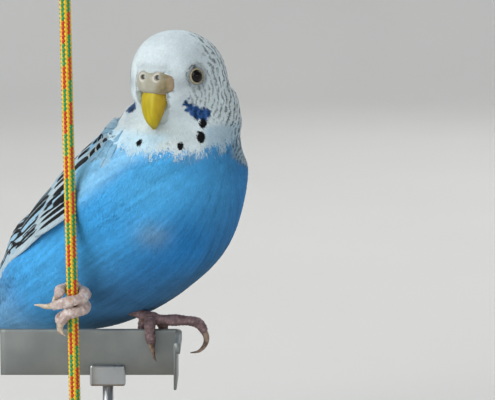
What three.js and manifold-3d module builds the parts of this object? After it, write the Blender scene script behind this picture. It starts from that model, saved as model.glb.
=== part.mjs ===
// A life-size budgerigar that sits on a cut corner of a tray's rim and holds a cut length of rope,
// on a plain display stand. Millimetres, +Z up. The origin is the centre of the base's underside.
// The view of the reference looks along +Y, with +X to its right.
import * as THREE from "three";
import { LoftGeometry } from "three/addons/geometries/LoftGeometry.js";
import { mergeVertices } from "three/addons/utils/BufferGeometryUtils.js";
import Module from "manifold-3d";

const wasm = await Module();
wasm.setup();

// Driving dimensions
const GAP = 0.3; // between pieces that meet
const BASE_RADIUS = 46;
const BASE_HEIGHT = 8;
const RIM_HEIGHT = 54; // top of the tray's rim over the floor
const CORNER_X = 14; // corner of the tray's rim over the base
const CORNER_Y = -9;
const HEADING = -38; // degrees about Z that turn the bird's +X to where its breast faces
const HEAD_TURN = -84; // degrees about Z from the breast to the bill
const BODY_PITCH = 34; // degrees of the trunk's line over the level
const TRUNK_X = -7; // middle of the trunk from the rim's corner
const TRUNK_Y = 4;
const TRUNK_Z = 34.6;
const NECK_X = 12.3; // upright line that the neck turns about, ahead of the trunk's middle
const HEAD_UP = 35.8; // middle of the head over the trunk's middle
const EYE_RADIUS = 1.9;
const ROPE_RADIUS = 1.65;
const ROPE_BELOW = 21; // how far the rope's ends lie under and over the rim's top
const ROPE_ABOVE = 94;
const ROPE_LEAN = 0.8; // degrees
const TRAY_SHEET = 0.8; // the tray's sheet metal
const TRAY_HEM = 1.8; // its hemmed rim's width
const TRAY_HEIGHT = 13;
const TRAY_LENGTH = 50;
const TRAY_RETURN = 20;
const ROD_RADIUS = 1.5;
const VANE_THICKNESS = 0.55;
const VANE_TILT = 5; // degrees that a wing vane leans over its lower neighbour
const TRUNK_SIDES = 26;
const TRUNK_STEPS = 22;
const TAIL_REACH = 136; // from the trunk's middle to the tail's tip, along the trunk's line
const WING_REACH = 82; // from the trunk's middle to the wing's tip

const rad = THREE.MathUtils.degToRad;
const lerp = THREE.MathUtils.lerp;
const vec = (x, y, z) => new THREE.Vector3(x, y, z);

// Value at t of a smooth curve through the column of a table whose rows start with t.
function smooth(rows, column, t) {
  const last = rows.length - 1;
  if (t <= rows[0][0]) return rows[0][column];
  if (t >= rows[last][0]) return rows[last][column];
  let i = 0;
  while (rows[i + 1][0] < t) i++;
  const slope = (k) => {
    const a = rows[Math.max(k - 1, 0)];
    const b = rows[Math.min(k + 1, last)];
    return (b[column] - a[column]) / (b[0] - a[0]);
  };
  const step = rows[i + 1][0] - rows[i][0];
  const u = (t - rows[i][0]) / step;
  const rise = rows[i][column];
  const goal = rows[i + 1][column];
  const start = slope(i) * step;
  const end = slope(i + 1) * step;
  return (
    rise * (2 * u ** 3 - 3 * u ** 2 + 1) +
    start * (u ** 3 - 2 * u ** 2 + u) +
    goal * (3 * u ** 2 - 2 * u ** 3) +
    end * (u ** 3 - u ** 2)
  );
}

// Solids
function solidOf(geometry) {
  const bare = new THREE.BufferGeometry();
  bare.setAttribute("position", geometry.getAttribute("position"));
  if (geometry.index) bare.setIndex(geometry.index);
  const merged = mergeVertices(bare, 1e-4);
  const vertProperties = new Float32Array(merged.attributes.position.array);
  const triVerts = new Uint32Array(merged.index.array);
  const solid = new wasm.Manifold(new wasm.Mesh({ numProp: 3, vertProperties, triVerts }));
  if (solid.volume() > 0) return solid;
  // Rings that run the other way round give a surface that faces inwards, so it is turned over.
  return new wasm.Manifold(new wasm.Mesh({ numProp: 3, vertProperties, triVerts: triVerts.reverse() }));
}

function geometryOf(solid) {
  const mesh = solid.getMesh();
  const geometry = new THREE.BufferGeometry();
  geometry.setAttribute("position", new THREE.BufferAttribute(mesh.vertProperties, 3));
  geometry.setIndex(new THREE.BufferAttribute(mesh.triVerts, 1));
  geometry.computeVertexNormals();
  return geometry;
}

const joined = (solids) => solids.reduce((a, b) => a.add(b));
const largest = (solid) => solid.decompose().reduce((a, b) => (b.volume() > a.volume() ? b : a));
const moved = (solid, matrix) => solid.transform(matrix.elements);
const loft = (rings) => solidOf(new LoftGeometry(rings, { capStart: true, capEnd: true }));

// A ring of points from a start angle on. A power under 1 makes the ellipse squarer.
function ellipse(at, side, up, width, high, low, count, power = 1, start = 0) {
  const bent = (value) => Math.sign(value) * Math.abs(value) ** power;
  const points = [];
  for (let i = 0; i < count; i++) {
    const angle = start + (2 * Math.PI * i) / count;
    const aside = bent(Math.cos(angle)) * width;
    const rise = bent(Math.sin(angle));
    points.push(at.clone().addScaledVector(side, aside).addScaledVector(up, rise * (rise > 0 ? high : low)));
  }
  return points;
}

// A round tube of changing radius along a smooth curve through the points.
function tube(points, radii, steps, sides, grow = 0) {
  const curve = new THREE.CatmullRomCurve3(points, false, "centripetal");
  const frames = curve.computeFrenetFrames(steps, false);
  const rows = radii.map((radius, i) => [i / (radii.length - 1), radius]);
  const rings = [];
  for (let i = 0; i <= steps; i++) {
    const t = i / steps;
    const radius = smooth(rows, 1, t) + grow;
    const up = frames.normals[i];
    const side = new THREE.Vector3().crossVectors(up, frames.tangents[i]);
    rings.push(ellipse(curve.getPointAt(t), side, up, radius, radius, radius, sides));
  }
  return loft(rings);
}

function box(size, centre) {
  const geometry = new THREE.BoxGeometry(size.x, size.y, size.z);
  return solidOf(geometry.translate(centre.x, centre.y, centre.z));
}

function ball(radii, centre, columns, rows) {
  const geometry = new THREE.SphereGeometry(1, columns, rows);
  geometry.scale(radii.x, radii.y, radii.z);
  return solidOf(geometry.translate(centre.x, centre.y, centre.z));
}

function post(radius, low, high, x, y, sides) {
  const geometry = new THREE.CylinderGeometry(radius, radius, high - low, sides);
  geometry.rotateX(Math.PI / 2).translate(x, y, (low + high) / 2);
  return solidOf(geometry);
}

// Frames: the row's, the bird's, whose origin is the trunk's middle, and the head's
const bird = new THREE.Group();
bird.position.set(CORNER_X + TRUNK_X, CORNER_Y + TRUNK_Y, RIM_HEIGHT + TRUNK_Z);
bird.rotation.z = rad(HEADING);
const head = new THREE.Group();
head.position.set(NECK_X, 0, HEAD_UP);
head.rotation.z = rad(HEAD_TURN);
bird.add(head);
bird.updateMatrixWorld(true);
const birdToRow = bird.matrixWorld;
const headToBird = head.matrix;

const ALONG = vec(Math.cos(rad(BODY_PITCH)), 0, Math.sin(rad(BODY_PITCH)));
const BACK = vec(-Math.sin(rad(BODY_PITCH)), 0, Math.cos(rad(BODY_PITCH)));
const LEFT = vec(0, 1, 0);

// Trunk and neck, one loft in the bird's frame
// along, x, z, pitch, half width, depth to the back, depth to the belly, share of the head's turn
const STATIONS = [
  [-76, -63.0, -42.5, 34, 2.6, 1.9, 2.2, 0],
  [-68, -56.4, -38.0, 34, 5.8, 4.6, 5.2, 0],
  [-58, -48.1, -32.4, 34, 10.4, 9.2, 10.6, 0],
  [-46, -38.1, -25.7, 34, 15.4, 14.0, 16.6, 0],
  [-33, -27.4, -18.5, 34, 19.0, 17.8, 21.8, 0],
  [-20, -16.6, -11.2, 34, 21.4, 19.9, 24.4, 0],
  [-7, -5.8, -3.9, 34, 22.6, 21.0, 25.0, 0],
  [6, 4.6, 3.8, 40, 22.6, 21.0, 23.6, 0],
  [16, 9.4, 12.0, 54, 20.8, 19.4, 20.2, 0.06],
  [25, 10.8, 20.0, 72, 18.0, 17.2, 16.8, 0.3],
  [32, 11.4, 27.0, 84, 15.6, 15.2, 14.4, 0.7],
  [38, 12.6, 33.0, 90, 11.6, 11.4, 11.4, 1],
  [42, 13.2, 37.0, 90, 8.0, 8.0, 8.0, 1],
  [44, 13.4, 39.0, 90, 4.0, 4.0, 4.0, 1],
];
const REAR = STATIONS[0][0];
const TOP = STATIONS[STATIONS.length - 1][0];

// Centre, way up and measures of the trunk's section at a place along it
function section(along) {
  const columns = [1, 2, 3, 4, 5, 6, 7];
  const [x, z, pitch, width, back, belly, turn] = columns.map((k) => smooth(STATIONS, k, along));
  const beyond = Math.min(0, along - REAR);
  const centre = vec(x, 0, z).addScaledVector(ALONG, beyond);
  const up = vec(-Math.sin(rad(pitch)), 0, Math.cos(rad(pitch)));
  return { centre, up, width, back, belly, turn };
}

// The neck turns about its upright line by this share of the head's turn.
function turnNeck(point, turn) {
  point.x -= NECK_X;
  point.applyAxisAngle(vec(0, 0, 1), rad(HEAD_TURN * turn));
  point.x += NECK_X;
  return point;
}

function trunkAndNeck(grow) {
  const rings = [];
  for (let i = 0; i <= TRUNK_STEPS; i++) {
    const { centre, up, width, back, belly, turn } = section(lerp(REAR - grow, TOP, i / TRUNK_STEPS));
    // Starting the ring against the turn keeps its points in line with those of the rings below.
    const start = -rad(HEAD_TURN * turn);
    const ring = ellipse(centre, LEFT, up, width + grow, back + grow, belly + grow, TRUNK_SIDES, 1, start);
    rings.push(ring.map((point) => turnNeck(point, turn)));
  }
  return loft(rings);
}

// Head, in its own frame: +X to the bill, +Y to the bird's left
// forward, half width, depth over the middle, depth under it
const HEAD_STATIONS = [
  [-10.4, 1.6, 1.8, 3.0],
  [-9.4, 5.0, 5.0, 7.2],
  [-6.4, 8.8, 9.0, 11.4],
  [-2.0, 11.2, 12.2, 13.6],
  [3.5, 12.1, 13.8, 14.2],
  [8.6, 11.8, 13.8, 14.0],
  [12.4, 10.6, 12.6, 12.6],
  [15.4, 8.4, 10.2, 10.4],
  [17.3, 5.6, 6.8, 7.0],
  [18.2, 1.8, 2.4, 2.4],
];
const HEAD_POWER = 0.92;

function skull(grow) {
  const steps = 15;
  const first = HEAD_STATIONS[0][0];
  const last = HEAD_STATIONS[HEAD_STATIONS.length - 1][0];
  const rings = [];
  for (let i = 0; i <= steps; i++) {
    // Rings lie closer together towards both ends, where the form turns fastest.
    const t = lerp(first - grow, last + grow, (1 - Math.cos((Math.PI * i) / steps)) / 2);
    const [width, over, under] = [1, 2, 3].map((k) => smooth(HEAD_STATIONS, k, t) + grow);
    rings.push(ellipse(vec(t, 0, 0), LEFT, vec(0, 0, 1), width, over, under, 24, HEAD_POWER));
  }
  return loft(rings);
}

// Bill: x, z, half width, half depth, from its root to its tip
const BILL_UPPER = [
  [0, 12.6, -2.2, 4.0, 2.6],
  [1, 14.9, -3.0, 4.1, 2.8],
  [2, 16.2, -4.9, 3.9, 2.4],
  [3, 16.7, -7.4, 3.4, 2.0],
  [4, 16.7, -9.9, 2.3, 1.5],
  [5, 16.1, -12.2, 0.6, 0.5],
];
const BILL_LOWER = [
  [0, 11.4, -8.0, 3.0, 1.9],
  [1, 13.2, -8.7, 2.7, 1.6],
  [2, 14.6, -9.1, 1.9, 1.0],
];

function bill(rows, steps, sides, grow) {
  const last = rows[rows.length - 1][0];
  const spot = (t) => vec(smooth(rows, 1, t), 0, smooth(rows, 2, t));
  const rings = [];
  for (let i = 0; i <= steps; i++) {
    const t = (last * i) / steps;
    const ahead = spot(Math.min(t + 0.1, last));
    const along = ahead.sub(spot(Math.max(t - 0.1, 0))).normalize();
    const up = new THREE.Vector3().crossVectors(along, LEFT);
    const width = smooth(rows, 3, t) + grow;
    const depth = smooth(rows, 4, t) + grow;
    rings.push(ellipse(spot(t), LEFT, up, width, depth, depth, sides));
  }
  return loft(rings);
}

// Cere: a squarish pad over the bill's root with a swelling round each nostril, fuller on the bird's left
// forward, half width, half height
const CERE = [
  [11.6, 6.2, 3.0],
  [15.4, 6.3, 3.2],
  [17.4, 5.4, 2.9],
  [18.5, 3.7, 2.2],
  [18.9, 1.7, 1.0],
];
const CERE_Y = 0.7;
const CERE_Z = 0.2;
const NOSTRIL = vec(18.5, 2.3, 2.3);

function cere(grow) {
  const last = CERE[CERE.length - 1][0] + grow;
  const rings = [];
  for (let i = 0; i <= 6; i++) {
    const t = lerp(CERE[0][0] - grow, last, Math.sin((Math.PI / 2) * (i / 6)));
    const [width, height] = [1, 2].map((k) => smooth(CERE, k, t) + grow);
    rings.push(ellipse(vec(t, CERE_Y, CERE_Z), LEFT, vec(0, 0, 1), width, height, height, 16, 0.75));
  }
  const swelling = (side) => {
    const centre = vec(NOSTRIL.x - 1.9, NOSTRIL.y * side, NOSTRIL.z - 0.5);
    return ball(vec(2.1 + grow, 2.3 + grow, 1.9 + grow), centre, 8, 6);
  };
  return joined([loft(rings), swelling(1), swelling(-1)]);
}

function nostril(side) {
  return ball(vec(1.1, 0.6, 0.6), vec(NOSTRIL.x + 0.1, NOSTRIL.y * side, NOSTRIL.z), 8, 4);
}

// Eyes: each looks out along +Z of its own frame
const EYE = vec(10.9, 10.05, 2.1);
const EYE_OUT = vec(0.36, 0.92, 0.1);
const LID = [
  [1.85, 1.15],
  [2.1, 1.42],
  [2.45, 1.0],
  [2.5, -0.6],
  [2.25, -0.6],
  [1.85, 1.15],
];
const SOCKET = [
  [0, -2.2],
  [2.8, -2.2],
  [2.8, 4],
  [0, 4],
];

function eyeFrame(side) {
  const centre = vec(EYE.x, EYE.y * side, EYE.z);
  const out = vec(EYE_OUT.x, EYE_OUT.y * side, EYE_OUT.z).normalize();
  const turn = new THREE.Quaternion().setFromUnitVectors(vec(0, 0, 1), out);
  return new THREE.Matrix4().compose(centre, turn, vec(1, 1, 1));
}

function turned(profile, sides) {
  const outline = profile.map(([r, z]) => new THREE.Vector2(r, z));
  return solidOf(new THREE.LatheGeometry(outline, sides).rotateX(Math.PI / 2));
}

const eyeball = () => ball(vec(EYE_RADIUS, EYE_RADIUS, EYE_RADIUS), vec(0, 0, 0), 14, 8);

// Feathers
// A vane follows its spots, each with the way out from the body, and is widest past its middle.
const VANE_SHAPE = [
  [0, 0.45],
  [0.35, 0.9],
  [0.7, 1],
  [0.9, 0.72],
  [1, 0.2],
];

function vane(spots, ups, halfWidth, tilt, thickness) {
  const rings = spots.map((at, i) => {
    const t = i / (spots.length - 1);
    const ahead = spots[Math.min(i + 1, spots.length - 1)];
    const behind = spots[Math.max(i - 1, 0)];
    const along = new THREE.Vector3().subVectors(ahead, behind).normalize();
    const up = ups[i].clone().addScaledVector(along, -ups[i].dot(along)).normalize();
    up.applyAxisAngle(along, tilt);
    const side = new THREE.Vector3().crossVectors(up, along);
    const width = halfWidth * smooth(VANE_SHAPE, 1, t);
    const half = (thickness / 2) * (i === spots.length - 1 ? 0.7 : 1);
    const corner = (a, b) => at.clone().addScaledVector(side, a).addScaledVector(up, b);
    return [corner(-width, -half), corner(width, -half), corner(width, half), corner(-width, half)];
  });
  return loft(rings);
}

// The folded wing lies on the trunk's right side, and past it on a narrower form of its own.
// along, least half width, least height, lowest angle, highest angle
const WING_FORM = [
  [-90, 1.6, 4.4, 64, 90],
  [-78, 3.9, 5.8, 54, 90],
  [-66, 7.2, 9.0, 44, 90],
  [-52, 12.0, 13.2, 32, 90],
  [-38, 0, 17.2, 24, 90],
  [-20, 0, 0, 17, 90],
  [0, 0, 0, 13, 88],
  [12, 0, 0, 14, 76],
  [22, 0, 0, 20, 56],
  [27, 0, 0, 28, 42],
];

function onWing(along, across, out) {
  const { centre, up, width, back } = section(along);
  const [leastWidth, leastBack, low, high] = [1, 2, 3, 4].map((k) => smooth(WING_FORM, k, along));
  const aside = Math.max(width, leastWidth) + GAP;
  const over = Math.max(back, leastBack) + GAP;
  const angle = rad(lerp(low, high, across));
  const facing = new THREE.Vector2(Math.cos(angle) / aside, Math.sin(angle) / over).normalize();
  const at = centre
    .addScaledVector(LEFT, -Math.cos(angle) * aside - out * facing.x)
    .addScaledVector(up, Math.sin(angle) * over + out * facing.y);
  const away = vec(0, 0, 0).addScaledVector(up, facing.y).addScaledVector(LEFT, -facing.x);
  return { at, up: away };
}

// The arm and its flesh, under the coverts: along, thickness, lowest share, highest share
const ARM = [
  [-34, 1.0, 0.2, 0.9],
  [-16, 1.6, 0.08, 0.95],
  [-4, 2.4, 0.05, 0.98],
  [8, 2.9, 0.02, 1],
  [17, 2.8, 0.04, 0.96],
  [23, 2.0, 0.14, 0.86],
  [26, 1.0, 0.3, 0.7],
];
const ARM_STEPS = 8;
const ARM_ACROSS = 4;
const ARM_CLEARANCE = 0.25; // under the arm, over the gap

function armSheet() {
  const rings = [];
  for (let i = 0; i <= ARM_STEPS; i++) {
    const along = lerp(ARM[0][0], ARM[ARM.length - 1][0], i / ARM_STEPS);
    const [thick, low, high] = [1, 2, 3].map((k) => smooth(ARM, k, along));
    const outer = [];
    const inner = [];
    for (let j = 0; j <= ARM_ACROSS; j++) {
      const share = lerp(low, high, j / ARM_ACROSS);
      const crown = 0.4 + 0.6 * Math.sin((Math.PI * j) / ARM_ACROSS);
      outer.push(onWing(along, share, thick * crown).at);
      inner.push(onWing(along, share, ARM_CLEARANCE).at);
    }
    rings.push([...inner, ...outer.reverse()]);
  }
  return loft(rings);
}

// Rows of vanes, from the lowest row to the highest. Each pair runs from a row's first vane, at the wing's
// lower edge, to its last, by the spine: root and tip are places along the trunk, rootAt and tipAt places
// across the wing, half a half width and out a height over the trunk. A root lies at its sunk share of out.
const WING_ROWS = [
  // primaries
  {
    count: 7,
    steps: 4,
    root: [2, -6],
    rootAt: [0.06, 0.3],
    tip: [-72, -56],
    tipAt: [0.1, 0.6],
    half: [2.5, 3.1],
    out: [0.85, 1.25],
    sunk: 0.75,
    longest: 1.6,
  },
  // secondaries
  {
    count: 6,
    steps: 3,
    root: [0, -6],
    rootAt: [0.28, 0.95],
    tip: [-56, -44],
    tipAt: [0.4, 1],
    half: [3.6, 4.1],
    out: [1.3, 1.7],
    sunk: 0.6,
  },
  // primary coverts
  {
    count: 2,
    steps: 3,
    root: [11, 9],
    rootAt: [0.04, 0.14],
    tip: [-27, -23],
    tipAt: [0.05, 0.2],
    half: [2.6, 2.8],
    out: [1.5, 1.8],
    sunk: 0.45,
  },
  // greater coverts
  {
    count: 6,
    steps: 2,
    root: [10, 4],
    rootAt: [0.16, 0.96],
    tip: [-18, -17],
    tipAt: [0.2, 0.98],
    half: [3.9, 4.1],
    out: [1.9, 2.2],
    sunk: 0.35,
  },
  // median coverts
  {
    count: 5,
    steps: 2,
    root: [15, 11],
    rootAt: [0.1, 0.92],
    tip: [-4, -5],
    tipAt: [0.1, 0.96],
    half: [4.0, 4.3],
    out: [2.5, 2.6],
    sunk: 0.15,
  },
  // lesser coverts
  {
    count: 4,
    steps: 2,
    root: [19, 16],
    rootAt: [0.16, 0.84],
    tip: [6, 4],
    tipAt: [0.12, 0.9],
    half: [4.0, 4.2],
    out: [2.7, 2.7],
    sunk: 0,
  },
  // shoulder coverts
  {
    count: 3,
    steps: 2,
    root: [22, 20],
    rootAt: [0.3, 0.7],
    tip: [13, 11],
    tipAt: [0.16, 0.82],
    half: [3.8, 3.8],
    out: [2.7, 2.7],
    sunk: 0,
  },
];

function wingRow(row) {
  const vanes = [];
  for (let k = 0; k < row.count; k++) {
    const share = k / (row.count - 1);
    const between = (pair) => lerp(pair[0], pair[1], share);
    const keys = ["root", "rootAt", "tipAt", "half", "out"];
    const [root, rootAt, tipAt, half, out] = keys.map((key) => between(row[key]));
    // The longest flight feather is the second or third from the leading edge.
    const reach = row.longest ? (WING_REACH + row.tip[0]) * Math.exp(-(((k - row.longest) / 1.4) ** 2)) : 0;
    const tip = between(row.tip) - reach + 0.6 * Math.sin(7 * k);
    const spots = [];
    const ups = [];
    for (let i = 0; i <= row.steps; i++) {
      const t = i / row.steps;
      const over = out * lerp(row.sunk, 1, Math.min(1, 2 * t));
      const { at, up } = onWing(lerp(root, tip, t), lerp(rootAt, tipAt, t), over);
      spots.push(at);
      ups.push(up);
    }
    vanes.push(vane(spots, ups, half, rad(VANE_TILT), VANE_THICKNESS));
  }
  return vanes;
}

function rightWing() {
  return joined([armSheet(), ...WING_ROWS.flatMap(wingRow)]);
}

// Tail: six pairs of graduated vanes under each other, on a short root
const TAIL_ROOT = -58;
const TAIL_SHARES = [1, 0.86, 0.76, 0.68, 0.61, 0.54]; // of the tail's length, a share for each pair
const TAIL_PAIRS = TAIL_SHARES.length;

function tailRoot() {
  const rings = [];
  const steps = 4;
  for (let i = 0; i <= steps; i++) {
    const t = i / steps;
    const at = ALONG.clone().multiplyScalar(lerp(TAIL_ROOT - 16, TAIL_ROOT + 6, t)).addScaledVector(BACK, 3);
    const width = lerp(3.4, 5.6, Math.sqrt(t));
    rings.push(ellipse(at, LEFT, BACK, width, lerp(1.4, 2.6, t), lerp(1.6, 3.0, t), 16));
  }
  return loft(rings);
}

function tailVane(pair, side) {
  const steps = 4;
  const reach = TAIL_SHARES[pair] * (TAIL_REACH + TAIL_ROOT);
  const spots = [];
  const ups = [];
  for (let i = 0; i <= steps; i++) {
    const t = i / steps;
    const aside = side * (0.7 + 0.55 * pair) * lerp(1, 1.9, t);
    const over = 4.3 - 0.5 * pair - 0.12 * (side + 1) - 1.2 * t * t;
    const along = lerp(TAIL_ROOT + 3, TAIL_ROOT - reach, t);
    spots.push(ALONG.clone().multiplyScalar(along).addScaledVector(LEFT, aside).addScaledVector(BACK, over));
    ups.push(BACK.clone().addScaledVector(LEFT, side * 0.05 * pair));
  }
  return vane(spots, ups, lerp(3.4, 3.0, pair / TAIL_PAIRS), rad(-side * 3), 0.7);
}

function tail() {
  const vanes = [];
  for (let pair = 0; pair < TAIL_PAIRS; pair++) {
    for (const side of [-1, 1]) vanes.push(tailVane(pair, side));
  }
  return joined([tailRoot(), ...vanes]);
}

// Legs and feet, in the row's frame from the rim's corner
const corner = (x, y, z) => vec(CORNER_X + x, CORNER_Y + y, RIM_HEIGHT + z);
const ROPE_X = -28.8; // the rope's line where the foot holds it
const ROPE_Y = -12;
const GRIP_Z = 8.2;
const TOE_SIDES = 7;
const TOE_STEPS = 8;
const TOE = [1.4, 1.25, 1.4, 1.15, 1.25, 0.95]; // radii over the toe's joints
const CLAW = [1.0, 0.8, 0.5, 0.15]; // radii from root to tip

const ropeAt = (z) => corner(ROPE_X - Math.tan(rad(ROPE_LEAN)) * (z - GRIP_Z), ROPE_Y, z);

const FULLNESS = { right: 1.25, left: 1.2 }; // of each foot's toes
const GRIP_BACK = ropeAt(GRIP_Z).add(vec(1.2, ROPE_RADIUS + 2.4, 1.0));
const GRIP_REACH = ROPE_RADIUS + GAP + 1.45; // from the rope's line to that of a toe round it
const GRIP_SPOTS = 6;

// A toe round the rope: it starts behind it, goes round by the sweep, falls by the drop and leaves to its
// end.
function toeRound({ level, sweep, drop, start, end }) {
  const spots = [GRIP_BACK.clone()];
  for (let i = 0; i <= GRIP_SPOTS; i++) {
    const t = i / GRIP_SPOTS;
    const angle = rad(start + sweep * t);
    const offset = vec(Math.cos(angle) * GRIP_REACH, Math.sin(angle) * GRIP_REACH, 0);
    spots.push(ropeAt(GRIP_Z + level - drop * t).add(offset));
  }
  return [...spots, ropeAt(GRIP_Z).add(vec(...end))];
}

// The right foot's toes, each with its claw's spots from the rope's line at the grip
const RIGHT_TOES = [
  {
    round: { level: 4.6, sweep: -175, drop: 2.2, start: 75, end: [-5.4, -3.3, 1.1] },
    claw: [[-7.0, -3.1, 1.0], [-8.8, -2.8, 1.3], [-10.3, -2.2, 1.3]],
  },
  {
    round: { level: 1.5, sweep: -185, drop: 2.7, start: 70, end: [-3.0, -2.4, -3.6] },
    claw: [[-3.2, -2.0, -5.0], [-2.8, -2.2, -6.3], [-1.9, -2.8, -7.2]],
  },
  {
    round: { level: 5.4, sweep: 115, drop: 0.8, start: 80, end: [-4.0, -0.4, 3.6] },
    claw: [[-4.8, -0.2, 2.2], [-5.2, 0.5, 0.8], [-4.9, 1.5, -0.3]],
  },
  {
    round: { level: -2.0, sweep: 120, drop: 1.2, start: 85, end: [-3.4, 0.2, -3.9] },
    claw: [[-3.7, 0.4, -5.4], [-3.8, 1.1, -6.8], [-3.4, 2.2, -7.8]],
  },
];

// The left foot's toes and claws from the rim's corner
const LEFT_TOES = [
  {
    toe: [[-7.5, 0.4, 2.6], [-3, -0.4, 2.6], [1.5, -0.9, 2.6], [5.4, -1.1, 1.9], [7.3, -1.1, -0.6]],
    claw: [[7.7, -1.1, -2.2], [7.3, -1.1, -4.3], [5.6, -1.1, -6.1], [3.2, -1.1, -6.6]],
  },
  {
    toe: [[-7.5, 0.2, 2.6], [-8, -2.3, 2.0], [-8, -3.1, -0.6], [-7.6, -2.9, -3.6]],
    claw: [[-7.4, -2.8, -5.0], [-7, -3.0, -7.0], [-6.3, -3.7, -8.6]],
  },
  {
    toe: [[-7.8, 0.8, 2.6], [-9.6, 2.4, 1.9], [-10.4, 3.1, -0.8], [-10.6, 2.9, -3.6]],
    claw: [[-10.6, 2.7, -5.0], [-10.6, 2.9, -6.9], [-10.4, 3.6, -8.4]],
  },
  {
    toe: [[-7.2, 0.8, 2.6], [-5.2, 2.4, 1.9], [-4.4, 3.1, -0.8], [-4.2, 2.9, -4.2]],
    claw: [[-4.2, 2.7, -5.6], [-4.2, 2.9, -7.5], [-4.4, 3.6, -9.0]],
  },
];

// Spots of each toe, from its root to its claw's root, then those of the claw to its tip
const fromCorner = (spots) => spots.map((spot) => corner(...spot));
const fromGrip = (spots) => spots.map((spot) => ropeAt(GRIP_Z).add(vec(...spot)));
const FEET = {
  right: {
    hock: corner(-24.8, -1.2, 11.6),
    pad: GRIP_BACK,
    toes: RIGHT_TOES.map(({ round, claw: spots }) => ({ toe: toeRound(round), claw: fromGrip(spots) })),
  },
  left: {
    hock: corner(-16.5, 4.5, 5.4),
    pad: corner(-7.5, 0.6, 2.9),
    toes: LEFT_TOES.map(({ toe, claw: spots }) => ({ toe: fromCorner(toe), claw: fromCorner(spots) })),
  },
};
const SHANK = [2.0, 1.4, 1.4, 1.8]; // radii from hock to foot
const SOLE = vec(2.2, 1.9, 1.9); // radii

function leg(side, grow) {
  const { hock, pad } = FEET[side];
  return tube([hock, hock.clone().lerp(pad, 0.5), pad], SHANK, 6, TOE_SIDES, grow);
}

function foot(side, grow) {
  const { pad, toes } = FEET[side];
  const sole = ball(SOLE.clone().addScalar(grow), pad, 8, 6);
  const radii = TOE.map((radius) => radius * FULLNESS[side]);
  const digits = toes.map(({ toe }) => tube(toe, radii, TOE_STEPS, TOE_SIDES, grow));
  return joined([sole, ...digits]);
}

// Each claw starts a little inside its toe's end.
function claw({ toe, claw: spots }, grow) {
  const end = toe[toe.length - 1].clone().lerp(toe[toe.length - 2], 0.25);
  return tube([end, ...spots], CLAW, 5, 6, grow);
}

// Perch, rope and stand, in the row's frame
function trayRim(grow) {
  const side = TRAY_SHEET + 2 * grow;
  const hem = TRAY_HEM + 2 * grow;
  const tall = TRAY_HEIGHT + 2 * grow;
  const wall = (size, x, y, z) => box(size, corner(x, y, z));
  const hemTall = 3 + grow;
  return joined([
    wall(vec(TRAY_LENGTH + 2 * grow, side, tall), -TRAY_LENGTH / 2, 0, -TRAY_HEIGHT / 2),
    wall(vec(side, TRAY_RETURN + 2 * grow, tall), 0, -TRAY_RETURN / 2, -TRAY_HEIGHT / 2),
    wall(vec(TRAY_LENGTH + 2 * grow, hem, hemTall), -TRAY_LENGTH / 2, 0, grow - hemTall / 2),
    wall(vec(hem, TRAY_RETURN + hem, hemTall), 0, -TRAY_RETURN / 2, grow - hemTall / 2),
  ]);
}

function rope(grow) {
  const ends = [ropeAt(-ROPE_BELOW - grow), ropeAt(ROPE_ABOVE + grow)];
  const middle = ends[0].clone().lerp(ends[1], 0.5);
  const geometry = new THREE.CylinderGeometry(
    ROPE_RADIUS + grow,
    ROPE_RADIUS + grow,
    ends[0].distanceTo(ends[1]),
    12,
  );
  const along = ends[1].clone().sub(ends[0]).normalize();
  const turn = new THREE.Quaternion().setFromUnitVectors(vec(0, 1, 0), along);
  geometry.applyQuaternion(turn).translate(middle.x, middle.y, middle.z);
  return solidOf(geometry);
}

const PERCH_ROD_X = -20;
function perchRod() {
  const top = RIM_HEIGHT - TRAY_HEIGHT;
  const shaft = post(ROD_RADIUS, BASE_HEIGHT + GAP, top - 1, CORNER_X + PERCH_ROD_X, CORNER_Y, 16);
  const saddle = box(vec(10, 4, 6), corner(PERCH_ROD_X, 0, -TRAY_HEIGHT));
  return joined([shaft, saddle]).subtract(trayRim(GAP));
}

function ropeRod() {
  const foot = ropeAt(-ROPE_BELOW);
  return post(ROD_RADIUS, BASE_HEIGHT + GAP, foot.z - GAP, foot.x, foot.y, 16);
}

function base() {
  const edge = 1;
  const profile = [
    [0, 0],
    [BASE_RADIUS - edge, 0],
    [BASE_RADIUS, edge],
    [BASE_RADIUS, BASE_HEIGHT - edge],
    [BASE_RADIUS - edge, BASE_HEIGHT],
    [0, BASE_HEIGHT],
  ];
  return turned(profile, 36);
}

// Cutting the parts out of each other
const HALF_GAP = GAP / 2;
const NECK_PLANE = { normal: [-0.5, 0, -0.866], offset: -21.5 };
const HEAD_PLANE = 29.6;
const flip = (plane) => ({ normal: plane.normal.map((n) => -n), offset: -plane.offset });
const keep = (solid, plane) => solid.trimByPlane(plane.normal, plane.offset + HALF_GAP);

const trunk = trunkAndNeck(0);
const trunkGrown = trunkAndNeck(GAP);
const skullInBird = moved(skull(0), headToBird);
const upperGrown = bill(BILL_UPPER, 12, 14, GAP);
const lowerGrown = bill(BILL_LOWER, 5, 12, GAP);
const billGap = moved(joined([upperGrown, lowerGrown, cere(GAP)]), headToBird);
const sockets = [1, -1].map((side) => moved(moved(turned(SOCKET, 18), eyeFrame(side)), headToBird));

const whole = joined([trunk, skullInBird]).subtract(joined([billGap, ...sockets]));
const headPlane = { normal: [0, 0, 1], offset: HEAD_PLANE };
const headSolid = largest(keep(whole, headPlane));
const below = keep(whole, flip(headPlane));
const torsoSolid = largest(keep(below, NECK_PLANE));
const neckSolid = largest(keep(below, flip(NECK_PLANE)));

const upperSolid = bill(BILL_UPPER, 12, 14, 0);
const lowerSolid = bill(BILL_LOWER, 5, 12, 0).subtract(upperGrown);
const cereSolid = cere(0).subtract(joined([upperGrown, nostril(1), nostril(-1)]));

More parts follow.
